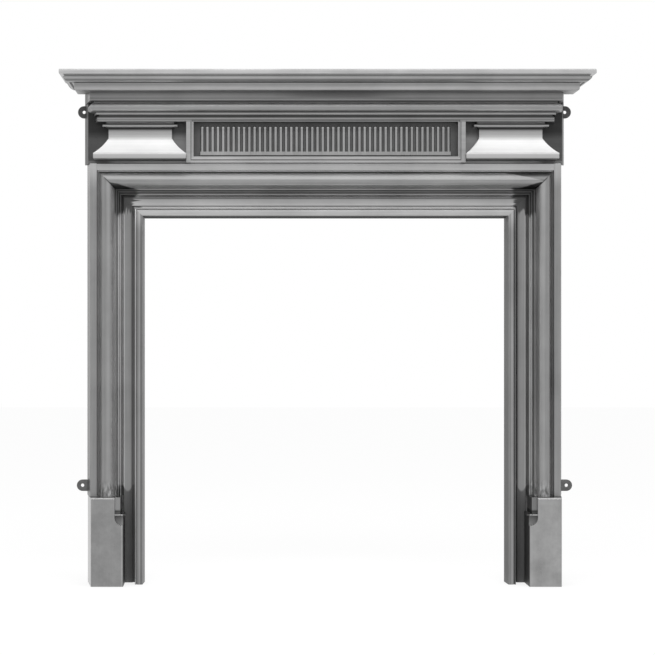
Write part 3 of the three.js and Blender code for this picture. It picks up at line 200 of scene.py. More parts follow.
class Nodes(Tree):
    """A builder for one material, with the object's own coordinates."""

    def __init__(self, name):
        self.material = bpy.data.materials.new(name)
        self.material.use_nodes = True
        super().__init__(self.material.node_tree)
        self.output = self.add("ShaderNodeOutputMaterial")
        self.coordinates = self.add("ShaderNodeTexCoord").outputs["Object"]
        separate = self.add("ShaderNodeSeparateXYZ")
        self.link(self.coordinates, separate.inputs[0])
        self.x, self.y, self.z = separate.outputs

    def noise(self, scale, detail=3.0, roughness=0.55, stretch=(1.0, 1.0, 1.0), offset=(0.0, 0.0, 0.0)):
        """Noise in the object's own frame; scale in cells a metre, stretch multiplies it by axis."""
        mapping = self.add("ShaderNodeMapping")
        self.link(self.coordinates, mapping.inputs["Vector"])
        mapping.inputs["Scale"].default_value = stretch
        mapping.inputs["Location"].default_value = offset
        node = self.add("ShaderNodeTexNoise")
        self.link(mapping.outputs[0], node.inputs["Vector"])
        node.inputs["Scale"].default_value = scale
        node.inputs["Detail"].default_value = detail
        node.inputs["Roughness"].default_value = roughness
        return node.outputs["Fac"]

    def step(self, value, low, high):
        """0 before low, 1 past high, smooth between. High may be the smaller."""
        node = self.add("ShaderNodeMapRange", interpolation_type="SMOOTHSTEP")
        self.feed(node.inputs["Value"], value)
        low_to, high_to = (0.0, 1.0) if low < high else (1.0, 0.0)
        node.inputs["From Min"].default_value = min(low, high)
        node.inputs["From Max"].default_value = max(low, high)
        node.inputs["To Min"].default_value = low_to
        node.inputs["To Max"].default_value = high_to
        return node.outputs["Result"]

    def between(self, value, rise, fall):
        """1 between two places: it fades in over the first pair and out over the second."""
        return self.times(self.step(value, *rise), self.step(value, fall[1], fall[0]))

    def scaled(self, value, low, high):
        """Maps 0..1 to low..high."""
        return self.math("MULTIPLY_ADD", value, high - low, low)

    def either_way(self, value, reach):
        """Maps 0..1 to the same reach on both sides of 0."""
        return self.scaled(value, -reach, reach)

    def mix(self, factor, a, b):
        node = self.add("ShaderNodeMix", data_type="RGBA")
        self.feed(node.inputs["Factor"], factor)
        self.feed(node.inputs["A"], a)
        self.feed(node.inputs["B"], b)
        return node.outputs["Result"]

    def mix_value(self, factor, a, b):
        node = self.add("ShaderNodeMix", data_type="FLOAT")
        self.feed(node.inputs[0], factor)
        self.feed(node.inputs[2], a)
        self.feed(node.inputs[3], b)
        return node.outputs[0]

    def ramp(self, value, low, high, stops):
        """A curve through (place, value) stops, places between low and high."""
        position = self.math("DIVIDE", self.math("SUBTRACT", value, low), high - low)
        node = self.add("ShaderNodeValToRGB")
        elements = node.color_ramp.elements
        while len(elements) < len(stops):
            elements.new(0.5)
        for element, (place, level) in zip(elements, stops):
            element.position = (place - low) / (high - low)
            element.color = (level, level, level, 1.0)
        self.link(position, node.inputs["Fac"])
        return node.outputs["Color"]

    def by_height(self, stops):
        return self.ramp(self.z, stops[0][0], stops[-1][0], stops)

    def right_half(self, blend):
        """0 on the left of the object and 1 on its right, over a blend on both sides of the middle."""
        return self.step(self.x, -blend, blend)

    def black_rim(self, tone):
        """The rims at the wall keep their casting skin."""
        return self.mix_value(self.step(self.y, *RIM_FADE), tone, BLACK)


# ================= Iron =================

# Tones of the iron, from a painted highlight and linished light to black as cast
HIGHLIGHT_TONE = 0.42
LIGHT = 0.34
SATIN = 0.20
CAST = 0.085
BLACK = 0.045

# Marks of the wheel, as cells a metre across and along them
FINE_LINES = (300.0, 5.0)
BROAD_BANDS = (45.0, 1.5)
CLOUD_CELLS = 9.0
PIT_CELLS = 280.0
GRAIN_CELLS = 900.0
BAND_WEIGHT = 1.6                # how much bands and clouds count, beside 1 for the fine lines
STREAK = 0.15                    # how far all of them together move the tone
FAINT_STREAK = 0.05
PITS = (0.60, 0.72)              # where the noise makes pits in the casting skin
PIT_TONE = 0.72
POLISH_ROUGHNESS = 0.30
ROUGHNESS_WANDER = 0.05
SKIN_ROUGHNESS = (0.42, 0.60)
SKIN_METAL = 0.85
BUMP_STRENGTH = 0.3
BUMP_DEPTH = 0.0004
LINE_BUMP = 0.25                 # shares of that depth
PIT_BUMP = 0.8
GRAIN_BUMP = 0.2


def brushed(along, across_cells, along_cells):
    """A stretch for noise whose marks run along one axis."""
    return tuple(along_cells if axis == along else across_cells for axis in "XYZ")


def iron(nodes, tone, along, roughness=POLISH_ROUGHNESS, streak=STREAK):
    """Grey iron of a tone that varies over the casting: the darker, the rougher and the more pitted."""
    lines = nodes.noise(1.0, detail=4.0, stretch=brushed(along, *FINE_LINES))
    bands = nodes.noise(1.0, stretch=brushed(along, *BROAD_BANDS), offset=(3.1, 1.7, 5.3))
    clouds = nodes.noise(CLOUD_CELLS, detail=4.0, roughness=0.6)
    grain = nodes.noise(GRAIN_CELLS, detail=2.0)
    pits = nodes.noise(PIT_CELLS, detail=4.0, roughness=0.7)

    worn = nodes.step(tone, CAST, SATIN)
    marks = nodes.math("ADD", nodes.either_way(lines, 1.0), nodes.either_way(bands, BAND_WEIGHT))
    marks = nodes.math("ADD", marks, nodes.either_way(clouds, BAND_WEIGHT))
    specks = nodes.scaled(nodes.step(pits, *PITS), 1.0, PIT_TONE)
    level = nodes.times(tone, nodes.math("MULTIPLY_ADD", marks, streak, 1.0))
    level = nodes.times(level, nodes.mix_value(worn, specks, 1.0))
    shader = nodes.add("ShaderNodeBsdfPrincipled")
    colour = nodes.add("ShaderNodeCombineColor")
    for channel in ("Red", "Green", "Blue"):
        nodes.link(level, colour.inputs[channel])
    nodes.link(colour.outputs[0], shader.inputs["Base Color"])
    nodes.link(nodes.scaled(worn, SKIN_METAL, 1.0), shader.inputs["Metallic"])
    wander = nodes.math("ADD", nodes.either_way(lines, ROUGHNESS_WANDER),
                        nodes.either_way(clouds, ROUGHNESS_WANDER))
    polish = nodes.math("ADD", wander, roughness)
    skin = nodes.math("MAXIMUM", nodes.scaled(pits, *SKIN_ROUGHNESS), roughness)
    nodes.link(nodes.mix_value(worn, skin, polish), shader.inputs["Roughness"])

    bump = nodes.add("ShaderNodeBump")
    bump.inputs["Strength"].default_value = BUMP_STRENGTH
    bump.inputs["Distance"].default_value = BUMP_DEPTH
    skin_height = nodes.math("ADD", nodes.times(pits, PIT_BUMP), nodes.times(grain, GRAIN_BUMP))
    height = nodes.mix_value(worn, skin_height, nodes.times(lines, LINE_BUMP))
    nodes.link(height, bump.inputs["Height"])
    nodes.link(bump.outputs[0], shader.inputs["Normal"])
    nodes.link(shader.outputs[0], nodes.output.inputs["Surface"])
    return nodes.material


# ---- The bolection frame ----
# Tones as (distance in from the outer arris, tone). Besides the polish of the iron, they hold painted
# highlights on the arrises, rolls and beads and painted shade in the grooves, set member by member.
JAMB_TONES = [
    (-SIDE_SPREAD, 0.165), (-0.0005, 0.17), (0.0010, 0.27), (MARGIN - 0.002, 0.26), (MARGIN, 0.20),
    (MARGIN + 0.0008, 0.32), (0.0200, 0.42), (0.0235, 0.82), (ROLL_START, 0.72), (0.0310, 0.32),
    (0.0345, 0.26), (0.0410, 0.27), (0.0455, 0.32), (0.0530, 0.29), (0.0560, 0.60), (ROLL_END, 0.80),
    (0.0620, 0.70), (BEAD_ONE - 0.001, 0.22), (BEAD_ONE + 0.002, 0.17), (0.0685, 0.46), (0.0715, 0.62),
    (BEAD_TWO, 0.33), (0.0790, 0.75), (0.0815, 0.65), (0.0845, 0.27),
    (0.0990, 0.23), (0.1015, 0.13), (SLIP_START - 0.001, 0.20), (SLIP_START + 0.001, 0.48),
    (SLIP_GROOVE, 0.22), (0.1290, 0.23), (FRAME_WIDTH, 0.30)]
HEADER_TONES = [
    (0.0, 0.85), (0.0025, 0.43), (MARGIN, 0.44), (MARGIN + 0.0018, 1.0), (0.0197, 0.07),
    (0.0222, 0.08), (0.0245, 0.85), (ROLL_START, 0.60), (0.0310, 0.55), (0.0345, 0.40), (0.0375, 0.26),
    (0.0430, 0.29), (0.0480, 0.31), (0.0530, 0.25), (0.0570, 0.78), (ROLL_END, 0.85), (0.0620, 0.60),
    (BEAD_ONE + 0.0010, 0.20), (0.0735, 0.25), (BEAD_TWO, 0.30), (0.0772, 0.80),
    (0.0800, 1.0), (0.0820, 0.35), (0.0845, 0.09), (0.0870, 0.33), (0.1005, 0.46),
    (0.1040, 0.36), (0.1060, 0.75), (0.1105, 0.75), (SLIP_START, 0.10), (SLIP_GROOVE - 0.0005, 0.30),
    (SLIP_GROOVE + 0.0005, 0.85)]
# On the slip, shares of the tones above. The jambs' shares differ by painted light and shade: a lit step at
# the left slip's outer edge, a shadowed step on the right's.
HEADER_SLIP = [
    (SLIP_GROOVE + 0.0005, 1.0), (0.1190, 0.52), (0.1290, 0.50), (0.1305, 0.50), (0.1315, 0.02)]
LEFT_SLIP_LIGHT = [
    (0.1165, 1.0), (0.1200, 1.0), (0.1230, 1.35), (0.1243, 1.28), (0.1262, 0.74), (0.1285, 0.70),
    (0.1305, 0.85)]
RIGHT_SLIP_LIGHT = [
    (0.1118, 1.0), (0.1128, 0.38), (0.1150, 0.55), (0.1172, 1.05), (0.1195, 1.25), (0.1220, 1.36),
    (0.1240, 1.25), (0.1262, 0.84), (0.1285, 1.02)]
# How much of the mirror is lost: in grooves, and on slopes that the wheel missed
DULL_MEMBERS = [
    (0.0, 0.0), (MARGIN, 0.0), (MARGIN + 0.001, 1.0), (ROLL_START, 1.0), (0.0315, 0.0), (0.0535, 0.0),
    (0.0570, 1.0), (0.0625, 1.0), (BEAD_ONE, 0.3), (0.0680, 1.0), (0.0725, 1.0), (BEAD_TWO, 0.3),
    (0.0785, 1.6), (0.0810, 1.6), (0.0835, 0.0), (0.1000, 0.0), (0.1030, 1.0), (0.1160, 1.0),
    (SLIP_GROOVE + 0.001, 0.0), (0.1300, 0.0), (FRAME_WIDTH, 2.0)]
DULL_SHARE = 0.5
RIGHT_PAINTED_SHADE = 0.44              # painted shade: how much darker the dull members of the right jamb are than the left's

# Stretches across the mouldings, as where they fade in and where they fade out
INNER_MEMBERS = ((0.060, 0.063), (0.105, 0.110))
BESIDE_SHADE_SPAN = ((0.060, 0.068), (0.106, 0.110))
ROLL_CREASE = ((0.033, 0.040), (0.058, 0.066))
ROLL_CROWN = ((0.026, 0.029), (0.044, 0.050))
ROLL_TO_SLOPE = ((MARGIN, ROLL_START), (0.080, 0.084))

# The polish of the inner members ends short of the mitre, in round tips
TIP_MIDDLE = 0.092
TIP_ROUND = 0.012
TIP_DRAWN = 0.8                  # how much of the roundness draws back the sides of a tip
TIP_FADE = 0.010
HEADER_TIP = 0.112
JAMB_TIP = 0.122
CORNER_TONE = 0.09
TIP_WANDER = 0.012               # how far clouds and grain shift the tips
GRAIN_WANDER = 0.024
TIP_CELLS = 28.0
TIP_GRAIN = (250.0, 8.0)
CREASE_HALF = (0.0006, 0.0028)   # half the crease's width, where it is full and where it has faded
CREASE_SHARE = 0.25

# The polish of the header's roll tapers off, from its foot and at the right from its top too
TAPER_SLOPE = 0.25
TAPER_FOOT = 0.0353
TAPER_TOP = 0.0580
TAPER_FADE = (0.0010, 0.0015)    # on the polish's own side of its edge, and past it
TAPER_WANDER = 0.5
ROLL_FOOT_FADE = (0.064, 0.068)
ROLL_TOP_FADE = (0.0235, 0.0245)
TAPER_TONES = (0.070, 0.035)     # below it at the left mitre, and at the right one
TAPER_TOP_TONE = 0.18

# Beside the plinths, painted shade; above them, marks
BESIDE_SHADE_TONES = [(0.060, 0.28), (0.076, 0.24), (0.083, 0.15), (0.092, 0.13), (0.104, 0.085)]
BESIDE_SHADE_FADE = (PLINTH_TOP + 0.007, PLINTH_TOP + 0.014)
BESIDE_DRAWN = 1.3               # how much of the roundness lifts the sides of the lit part's foot
MARKS_FADE = (PLINTH_TOP + 0.010, PLINTH_TOP + 0.050)
MARKS_CELLS = (150.0, 45.0)
MARKS_NOISE = (0.35, 0.65)
MARKS_TONES = (0.35, 1.45)

# Painted light: towards the header the jambs' margin and slip brighten, between these distances below its top
HEAD_MARGIN = (0.070, 0.004)
MARGIN_PAINTED_LIGHT = 1.70
HEAD_SLIP = (0.175, 0.130)
SLIP_PAINTED_LIGHT = 1.45

# Roughness where the mirror is whole and where it is lost, and off and on the crown of the header's roll
HEADER_ROUGHNESS = (0.32, 0.66)
JAMB_ROUGHNESS = (0.34, 0.66)
CROWN_ROUGHNESS = (0.32, 0.62)

MIDDLE_BLEND = 0.3               # for castings that stand left and right of the opening
HEADER_BLEND = 0.05              # for the two ends of the header


class FrameNodes(Nodes):
    """Nodes for a member of the bolection frame, with the distances across and along its mouldings."""

    def __init__(self, name, grain_axis):
        super().__init__(name)
        side = self.math("SUBTRACT", FRAME_HALF, self.math("ABSOLUTE", self.x))
        drop = self.math("SUBTRACT", FRAME_TOP, self.z)
        self.into, self.along = (side, drop) if grain_axis == "Z" else (drop, side)
        self.dulled = self.times(self.across(DULL_MEMBERS), DULL_SHARE)
        grain = self.noise(1.0, detail=2.0, stretch=brushed(grain_axis, *TIP_GRAIN), offset=(4.0, 2.0, 7.0))
        self.wander = self.math("ADD", self.either_way(self.noise(TIP_CELLS), TIP_WANDER),
                                self.either_way(grain, GRAIN_WANDER))
        off_middle = self.math("ABSOLUTE", self.math("SUBTRACT", self.into, TIP_MIDDLE))
        off_middle = self.math("MINIMUM", off_middle, TIP_ROUND)
        # 0 on the middle line of the tips, and TIP_ROUND at their sides
        self.roundness = self.times(off_middle, off_middle, 1.0 / TIP_ROUND)

    def across(self, stops):
        return self.ramp(self.into, -SIDE_SPREAD, FRAME_WIDTH + REVEAL_SPREAD, stops)

    def unpolished_corner(self, tone, tip):
        """Darkens the inner members between the mitre and their tips."""
        drawn_back = self.times(self.roundness, TIP_DRAWN)
        past = self.math("ADD", self.math("SUBTRACT", self.along, drawn_back), self.wander)
        shade = self.times(self.between(self.into, *INNER_MEMBERS), self.step(past, tip, tip - TIP_FADE))
        return self.mix_value(shade, tone, CORNER_TONE)

    def creased(self, tone):
        """A dark crease along the mitre of the roll."""
        off_mitre = self.math("ABSOLUTE", self.math("SUBTRACT", self.along, self.into))
        crease = self.step(off_mitre, CREASE_HALF[1], CREASE_HALF[0])
        crease = self.times(crease, self.between(self.into, *ROLL_CREASE))
        return self.times(tone, self.scaled(crease, 1.0, CREASE_SHARE))


def tapered_roll(nodes, tone):
    """The header's roll towards the mitres, dark below its polish and at the right above it too."""
    right = nodes.right_half(HEADER_BLEND)
    inside, past = TAPER_FADE
    taper_from = nodes.math("MULTIPLY_ADD", nodes.wander, TAPER_WANDER, nodes.along)
    foot = nodes.math("MULTIPLY_ADD", taper_from, TAPER_SLOPE, TAPER_FOOT)
    below = nodes.times(nodes.step(nodes.math("SUBTRACT", nodes.into, foot), -inside, past),
                        nodes.step(nodes.into, ROLL_FOOT_FADE[1], ROLL_FOOT_FADE[0]))
    tone = nodes.mix_value(below, tone, nodes.scaled(right, *TAPER_TONES))
    top = nodes.math("MULTIPLY_ADD", taper_from, -TAPER_SLOPE, TAPER_TOP)
    above = nodes.times(nodes.step(nodes.math("SUBTRACT", nodes.into, top), inside, -past),
                        nodes.step(nodes.into, *ROLL_TOP_FADE))
    return nodes.mix_value(nodes.times(above, right), tone, TAPER_TOP_TONE)


def header_iron():
    nodes = FrameNodes("header_iron", "X")
    tone = nodes.times(nodes.across(HEADER_TONES), nodes.across(HEADER_SLIP))
    tone = tapered_roll(nodes, nodes.unpolished_corner(tone, HEADER_TIP))
    tone = nodes.black_rim(nodes.creased(tone))
    crown = nodes.scaled(nodes.between(nodes.into, *ROLL_CROWN), *CROWN_ROUGHNESS)
    roughness = nodes.math("MAXIMUM", crown, nodes.mix_value(nodes.dulled, *HEADER_ROUGHNESS))
    return iron(nodes, tone, "X", roughness)


def shade_beside_plinth(nodes, tone):
    """Painted shade in the recess beside the plinth, standing for its reflection of the dark plinth, with the
    round foot of the lit part.
    """
    height = nodes.math("MULTIPLY_ADD", nodes.roundness, -BESIDE_DRAWN, nodes.z)
    beside = nodes.times(nodes.step(height, BESIDE_SHADE_FADE[1], BESIDE_SHADE_FADE[0]),
                         nodes.between(nodes.into, *BESIDE_SHADE_SPAN))
    start, end = BESIDE_SHADE_SPAN[0][0], BESIDE_SHADE_SPAN[1][1]
    return nodes.mix_value(beside, tone, nodes.ramp(nodes.into, start, end, BESIDE_SHADE_TONES))


def marked_foot(nodes, tone):
    """Ragged marks on the roll and the slope, just above the plinth."""
    marks = nodes.noise(1.0, roughness=0.7, stretch=brushed("Z", *MARKS_CELLS), offset=(1.0, 6.0, 2.0))
    marks = nodes.scaled(nodes.step(marks, *MARKS_NOISE), *MARKS_TONES)
    near_foot = nodes.times(nodes.step(nodes.z, MARKS_FADE[1], MARKS_FADE[0]),
                            nodes.between(nodes.into, *ROLL_TO_SLOPE))
    return nodes.times(tone, nodes.mix_value(near_foot, 1.0, marks))


def lit_towards_head(nodes, tone):
    """Painted light on the jamb's margin and its slip, which brighten towards the header's."""
    margin = nodes.times(nodes.step(nodes.along, *HEAD_MARGIN),
                         nodes.step(nodes.into, MARGIN + 0.001, MARGIN))
    tone = nodes.times(tone, nodes.scaled(margin, 1.0, MARGIN_PAINTED_LIGHT))
    slip = nodes.times(nodes.step(nodes.along, *HEAD_SLIP),
                       nodes.step(nodes.into, SLIP_START, SLIP_START + 0.001))
    return nodes.times(tone, nodes.scaled(slip, 1.0, SLIP_PAINTED_LIGHT))


def jamb_iron():
    nodes = FrameNodes("jamb_iron", "Z")
    right = nodes.right_half(MIDDLE_BLEND)
    # Painted shade on the dull members of the right jamb
    right_jamb_shade = nodes.times(right, nodes.dulled, RIGHT_PAINTED_SHADE)
    tone = nodes.times(nodes.across(JAMB_TONES), nodes.math("SUBTRACT", 1.0, right_jamb_shade))
    # The slips of the left and the right jamb take different painted light and shade
    left_slip_light, right_slip_light = (nodes.ramp(nodes.into, SLIP_START - 0.001, FRAME_WIDTH, stops)
                             for stops in (LEFT_SLIP_LIGHT, RIGHT_SLIP_LIGHT))
    tone = nodes.times(tone, nodes.mix_value(right, left_slip_light, right_slip_light))
    tone = nodes.creased(nodes.unpolished_corner(tone, JAMB_TIP))
    tone = marked_foot(nodes, shade_beside_plinth(nodes, tone))
    tone = nodes.black_rim(lit_towards_head(nodes, tone))
    return iron(nodes, tone, "Z", nodes.mix_value(nodes.dulled, *JAMB_ROUGHNESS))


# ---- The entablature ----
# Tones as (height, tone). They hold painted highlights on the upward-facing and rounded members and painted
# shade in the dark lines under the overhangs.
FRIEZE_TONES = [
    (FRAME_TOP, 0.60), (FRAME_TOP + 0.0025, 0.30), (FRAME_TOP + 0.0120, 0.30), (BAND_FOOT - 0.0045, 0.22),
    (BAND_FOOT - 0.0030, 0.07), (BAND_FOOT - 0.0010, 0.08), (BAND_FOOT + 0.0005, 0.27),
    (BAND_FOOT + 0.0065, 0.145), (BAND_FOOT + 0.0077, 0.34), (BAND_FOOT + 0.0097, 0.09), (BAND_TOP, 0.05),
    (FILLET_FOOT - 0.0005, 0.11), (FILLET_FOOT + 0.0005, 0.38), (FILLET_FOOT + 0.0030, 0.26),
    (FILLET_TOP, 0.29), (TORUS_FOOT, 0.55), (TORUS_FOOT + 0.0013, 0.42), (TORUS_FOOT + 0.0043, 0.30),
    (TORUS_FOOT + 0.0073, 0.31), (TORUS_FOOT + 0.0113, 0.28), (TORUS_FOOT + 0.0133, 0.21),
    (TORUS_FOOT + 0.0168, 0.62), (TORUS_TOP, 0.70), (TORUS_TOP + 0.0010, 0.03), (NECK_FOOT - 0.0005, 0.16),
    (NECK_FOOT + 0.0010, 0.36), (NECK_FOOT + 0.0025, 0.23), (NECK_FOOT + 0.0085, 0.19),
    (NECK_FOOT + 0.0165, 0.15), (CORNICE_FOOT + 0.0030, 0.12)]
# The end fields darken upwards with painted shadow under the band
FIELD_TONES = [
    (FRAME_TOP, 0.27), (BLOCK_FOOT - 0.0010, 0.27), (BLOCK_FOOT, 0.15), (BLOCK_FOOT + 0.0550, 0.15),
    (BLOCK_FOOT + 0.0720, 0.07), (BAND_FOOT, 0.07)]
SHELF_TONES = [
    (CORNICE_FOOT, 0.34), (CORNICE_FOOT + 0.0025, 0.40), (CORNICE_FOOT + 0.0052, 0.41),
    (CORNICE_FOOT + 0.0102, 0.365), (COVE_FOOT, 0.295), (SOFFIT - 0.0010, 0.33), (SOFFIT + 0.0005, 0.42),
    (SOFFIT + 0.0045, 0.155), (SOFFIT + 0.0070, 0.30), (SOFFIT + 0.0090, 0.37), (FASCIA_TOP - 0.0005, 0.29),
    (FASCIA_TOP + 0.0005, 0.12), (NOSING_FOOT - 0.0005, 0.42), (NOSING_FOOT + 0.0005, 0.56),
    (NOSING_FOOT + 0.0024, 0.43), (SHELF_TOP - 0.0030, 0.50), (SHELF_TOP, 0.62)]
# The corner blocks' slopes carry a painted highlight, nearly white, and the dark band under the cap is
# painted shadow
BLOCK_TONES = [
    (BLOCK_FOOT, 0.27), (BLOCK_FOOT + 0.0015, 0.40), (SLOPE_FOOT - 0.0040, 0.44), (SLOPE_FOOT + 0.0030, 0.89),
    (SLOPE_TOP - 0.0060, 0.90), (SLOPE_TOP, 0.68), (SLOPE_TOP + 0.0050, 0.48), (SLOPE_TOP + 0.0100, 0.37),
    (SLOPE_TOP + 0.0160, 0.36), (SLOPE_TOP + 0.0195, 0.31), (SLOPE_TOP + 0.0220, 0.12),
    (SLOPE_TOP + 0.0240, 0.035), (CAP_FOOT - 0.0012, 0.035), (CAP_FOOT, 0.50), (CAP_FOOT + 0.0023, 0.24),
    (CAP_TOP - 0.0005, 0.08), (CAP_TOP + 0.0005, 0.06), (CAP_TOP + 0.0028, 0.08), (BLOCK_TOP, 0.60)]

# The centre panel's frame
STILE_TONE = 0.33
BEAD_TONES = (0.36, 0.37)        # beside the window, and below it
GROOVE_TONE = 0.07
GROOVE_RISE = (PANEL_FRONT + 0.0004, PANEL_FRONT + 0.0010)
GROOVE_FALL = (PANEL_FRONT + 0.0018, PANEL_FRONT + 0.0024)
EDGE_FADE = 0.0005

# The end fields, by distance from the middle: lighter beside the panel, dark outside the blocks
FIELD_LIGHT = (0.490, 0.450)
FIELD_LIGHTER = 1.3
FIELD_DARK = (0.520, 0.550)
FIELD_DARKER = 0.50
FIELD_FADE = (FIELD_Y - 0.003, FIELD_Y - 0.001)

# The frieze's ends, between its front and its rim at the wall
END_TONE = 0.13
END_FADE = (FRIEZE_END, FRIEZE_END + 0.0015)
END_RIM_FADE = (WALL_Y - 0.001, WALL_Y - 0.004)
FRIEZE_ROUGHNESS = 0.45

# The neck is lighter on both sides of its middle
NECK_MIDDLE = 0.024
NECK_SIDES = (0.050, 0.180)
NECK_LIT = ((NECK_FOOT + 0.0050, NECK_FOOT + 0.0105), (NECK_FOOT + 0.0155, NECK_FOOT + 0.0255))
NECK_LIGHTER = 1.6


def panel_frame(nodes, tone, side):
    """The centre panel's frame: an outer strip, the dark groove and a bead inside it."""
    on_panel = nodes.times(nodes.step(side, PANEL_HALF, PANEL_HALF - EDGE_FADE),
                           nodes.step(nodes.z, BAND_FOOT, BAND_FOOT - 0.001))
    in_bead = nodes.times(nodes.step(side, GROOVE_SIDE[0], GROOVE_SIDE[0] - EDGE_FADE),
                          nodes.step(nodes.z, GROOVE_RAIL[1], GROOVE_RAIL[1] + EDGE_FADE))
    bead_tone = nodes.scaled(nodes.step(nodes.z, WINDOW_FOOT, WINDOW_FOOT - 0.004), *BEAD_TONES)
    tone = nodes.mix_value(nodes.times(on_panel, in_bead), tone, bead_tone)
    outer_strip = nodes.times(on_panel, nodes.step(side, GROOVE_SIDE[1], GROOVE_SIDE[1] + EDGE_FADE))
    tone = nodes.mix_value(outer_strip, tone, STILE_TONE)
    in_groove = nodes.between(nodes.y, GROOVE_RISE, GROOVE_FALL)
    return nodes.mix_value(nodes.times(on_panel, in_groove), tone, GROOVE_TONE)


def end_field(nodes, side):
    tone = nodes.by_height(FIELD_TONES)
    tone = nodes.times(tone, nodes.scaled(nodes.step(side, *FIELD_LIGHT), 1.0, FIELD_LIGHTER))
    return nodes.times(tone, nodes.scaled(nodes.step(side, *FIELD_DARK), 1.0, FIELD_DARKER))


def lit_neck(nodes, tone):
    off_middle = nodes.math("ABSOLUTE", nodes.math("SUBTRACT", nodes.x, NECK_MIDDLE))
    lit = nodes.times(nodes.step(off_middle, *NECK_SIDES), nodes.between(nodes.z, *NECK_LIT))
    return nodes.times(tone, nodes.scaled(lit, 1.0, NECK_LIGHTER))


def frieze_iron():
    """Iron of the frieze: light on the mouldings and the centre panel's frame, dark on the end fields."""
    nodes = Nodes("frieze_iron")
    side = nodes.math("ABSOLUTE", nodes.x)
    tone = lit_neck(nodes, panel_frame(nodes, nodes.by_height(FRIEZE_TONES), side))
    tone = nodes.mix_value(nodes.step(nodes.y, *FIELD_FADE), tone, end_field(nodes, side))
    on_end = nodes.times(nodes.step(side, *END_FADE), nodes.step(nodes.y, *END_RIM_FADE))
    return iron(nodes, nodes.mix_value(on_end, tone, END_TONE), "X", FRIEZE_ROUGHNESS)


# Finishes: roughness of the lower and the upper part, and the height of the change
SHELF_FINISH = (0.40, 0.32, NOSING_FOOT)
BLOCK_FINISH = (0.68, 0.45, SLOPE_TOP + 0.006)
CHANGE_FADE = 0.002


def height_iron(name, stops, finish, streak=STREAK):
    """Iron of the level mouldings: the tone follows the height, and the finish changes at one height."""
    nodes = Nodes(name)
    lower, upper, change = finish
    past_change = nodes.step(nodes.z, change - CHANGE_FADE, change + CHANGE_FADE)
    roughness = nodes.scaled(past_change, lower, upper)
    return iron(nodes, nodes.black_rim(nodes.by_height(stops)), "X", roughness, streak)


# ---- The reeded panel ----
REED_TONE = 0.31
# The reeds' domed tops carry painted light
DOME_LIGHT = 0.62
GROUND_TONE = 0.095
DOME_FADE = (REED_DOME - 0.001, REED_DOME + 0.002)
REED_FADE = (PANEL_FLOOR - 0.0005, PANEL_FLOOR - 0.0020)


def panel_iron():
    nodes = Nodes("panel_iron")
    # Painted light on the domes of the reeds
    reed_tone = nodes.scaled(nodes.step(nodes.z, *DOME_FADE), REED_TONE, DOME_LIGHT)
    on_reeds = nodes.step(nodes.y, *REED_FADE)
    return iron(nodes, nodes.mix_value(on_reeds, GROUND_TONE, reed_tone), "Z")


# ---- The plinths ----
PLINTH_CELLS = 16.0
PLINTH_TONES = (0.17, 0.46)      # dark and light clouds
PLINTH_SHADES = (0.84, 1.04)     # the left plinth is a shade darker than the right one
OUTER_EDGE_HIGHLIGHT = (PLINTH_OUTSIDE - 0.0020, PLINTH_OUTSIDE + 0.0005)
TOP_FADE = (PLINTH_TOP - 0.004, PLINTH_TOP - 0.001)
INNER_ARRIS = (PLINTH_INSIDE + 0.0055, PLINTH_INSIDE + 0.0040)
ARRIS_LIGHTER = 1.3
INNER_SIDE = (PLINTH_INSIDE + 0.0020, PLINTH_INSIDE)
INNER_SIDE_TONE = 0.09
NOTCH_REACH = 0.030
NOTCH_RISE = (PLINTH_FRONT + 0.0015, PLINTH_FRONT + 0.0040)
NOTCH_EDGE = (NOTCH_SIDE + 0.0010, NOTCH_SIDE - 0.0005)
NOTCH_SHADES_AND_LIGHTS = [
    (LEDGE_FOOT - 0.026, 0.21), (LEDGE_FOOT - 0.0015, 0.10), (LEDGE_FOOT, 0.36), (LEDGE_TOP - 0.0005, 0.40),
    (LEDGE_TOP + 0.0010, 0.05), (LEDGE_TOP + 0.0075, 0.06), (LEDGE_TOP + 0.0115, 0.27)]
RIGHT_COVE_PAINTED_SHADE = 0.72
NOTCH_WALL_LIGHT = 0.62


def notch_light_and_shade(nodes, right):
    """Painted shade in the cove over the ledge and in the scoop below it, a painted highlight on the ledge
    and painted light on the notch's walls.
    """
    tone = nodes.ramp(nodes.z, LEDGE_FOOT - NOTCH_REACH, LEDGE_FOOT + NOTCH_REACH, NOTCH_SHADES_AND_LIGHTS)
    # The right plinth's cove takes deeper painted shade
    right_cove_shade = nodes.times(right, nodes.step(nodes.z, LEDGE_TOP, LEDGE_TOP + 0.001))
    tone = nodes.times(tone, nodes.scaled(right_cove_shade, 1.0, RIGHT_COVE_PAINTED_SHADE))
    below_ledge = nodes.step(nodes.z, LEDGE_FOOT - 0.0010, LEDGE_FOOT - 0.0030)
    wall = nodes.math("MAXIMUM", below_ledge, nodes.step(nodes.z, COVE_TOP - 0.003, COVE_TOP))
    wall = nodes.times(wall, nodes.step(nodes.y, NOTCH_FLOOR - 0.0003, NOTCH_FLOOR - 0.0010))
    return nodes.mix_value(wall, tone, NOTCH_WALL_LIGHT)


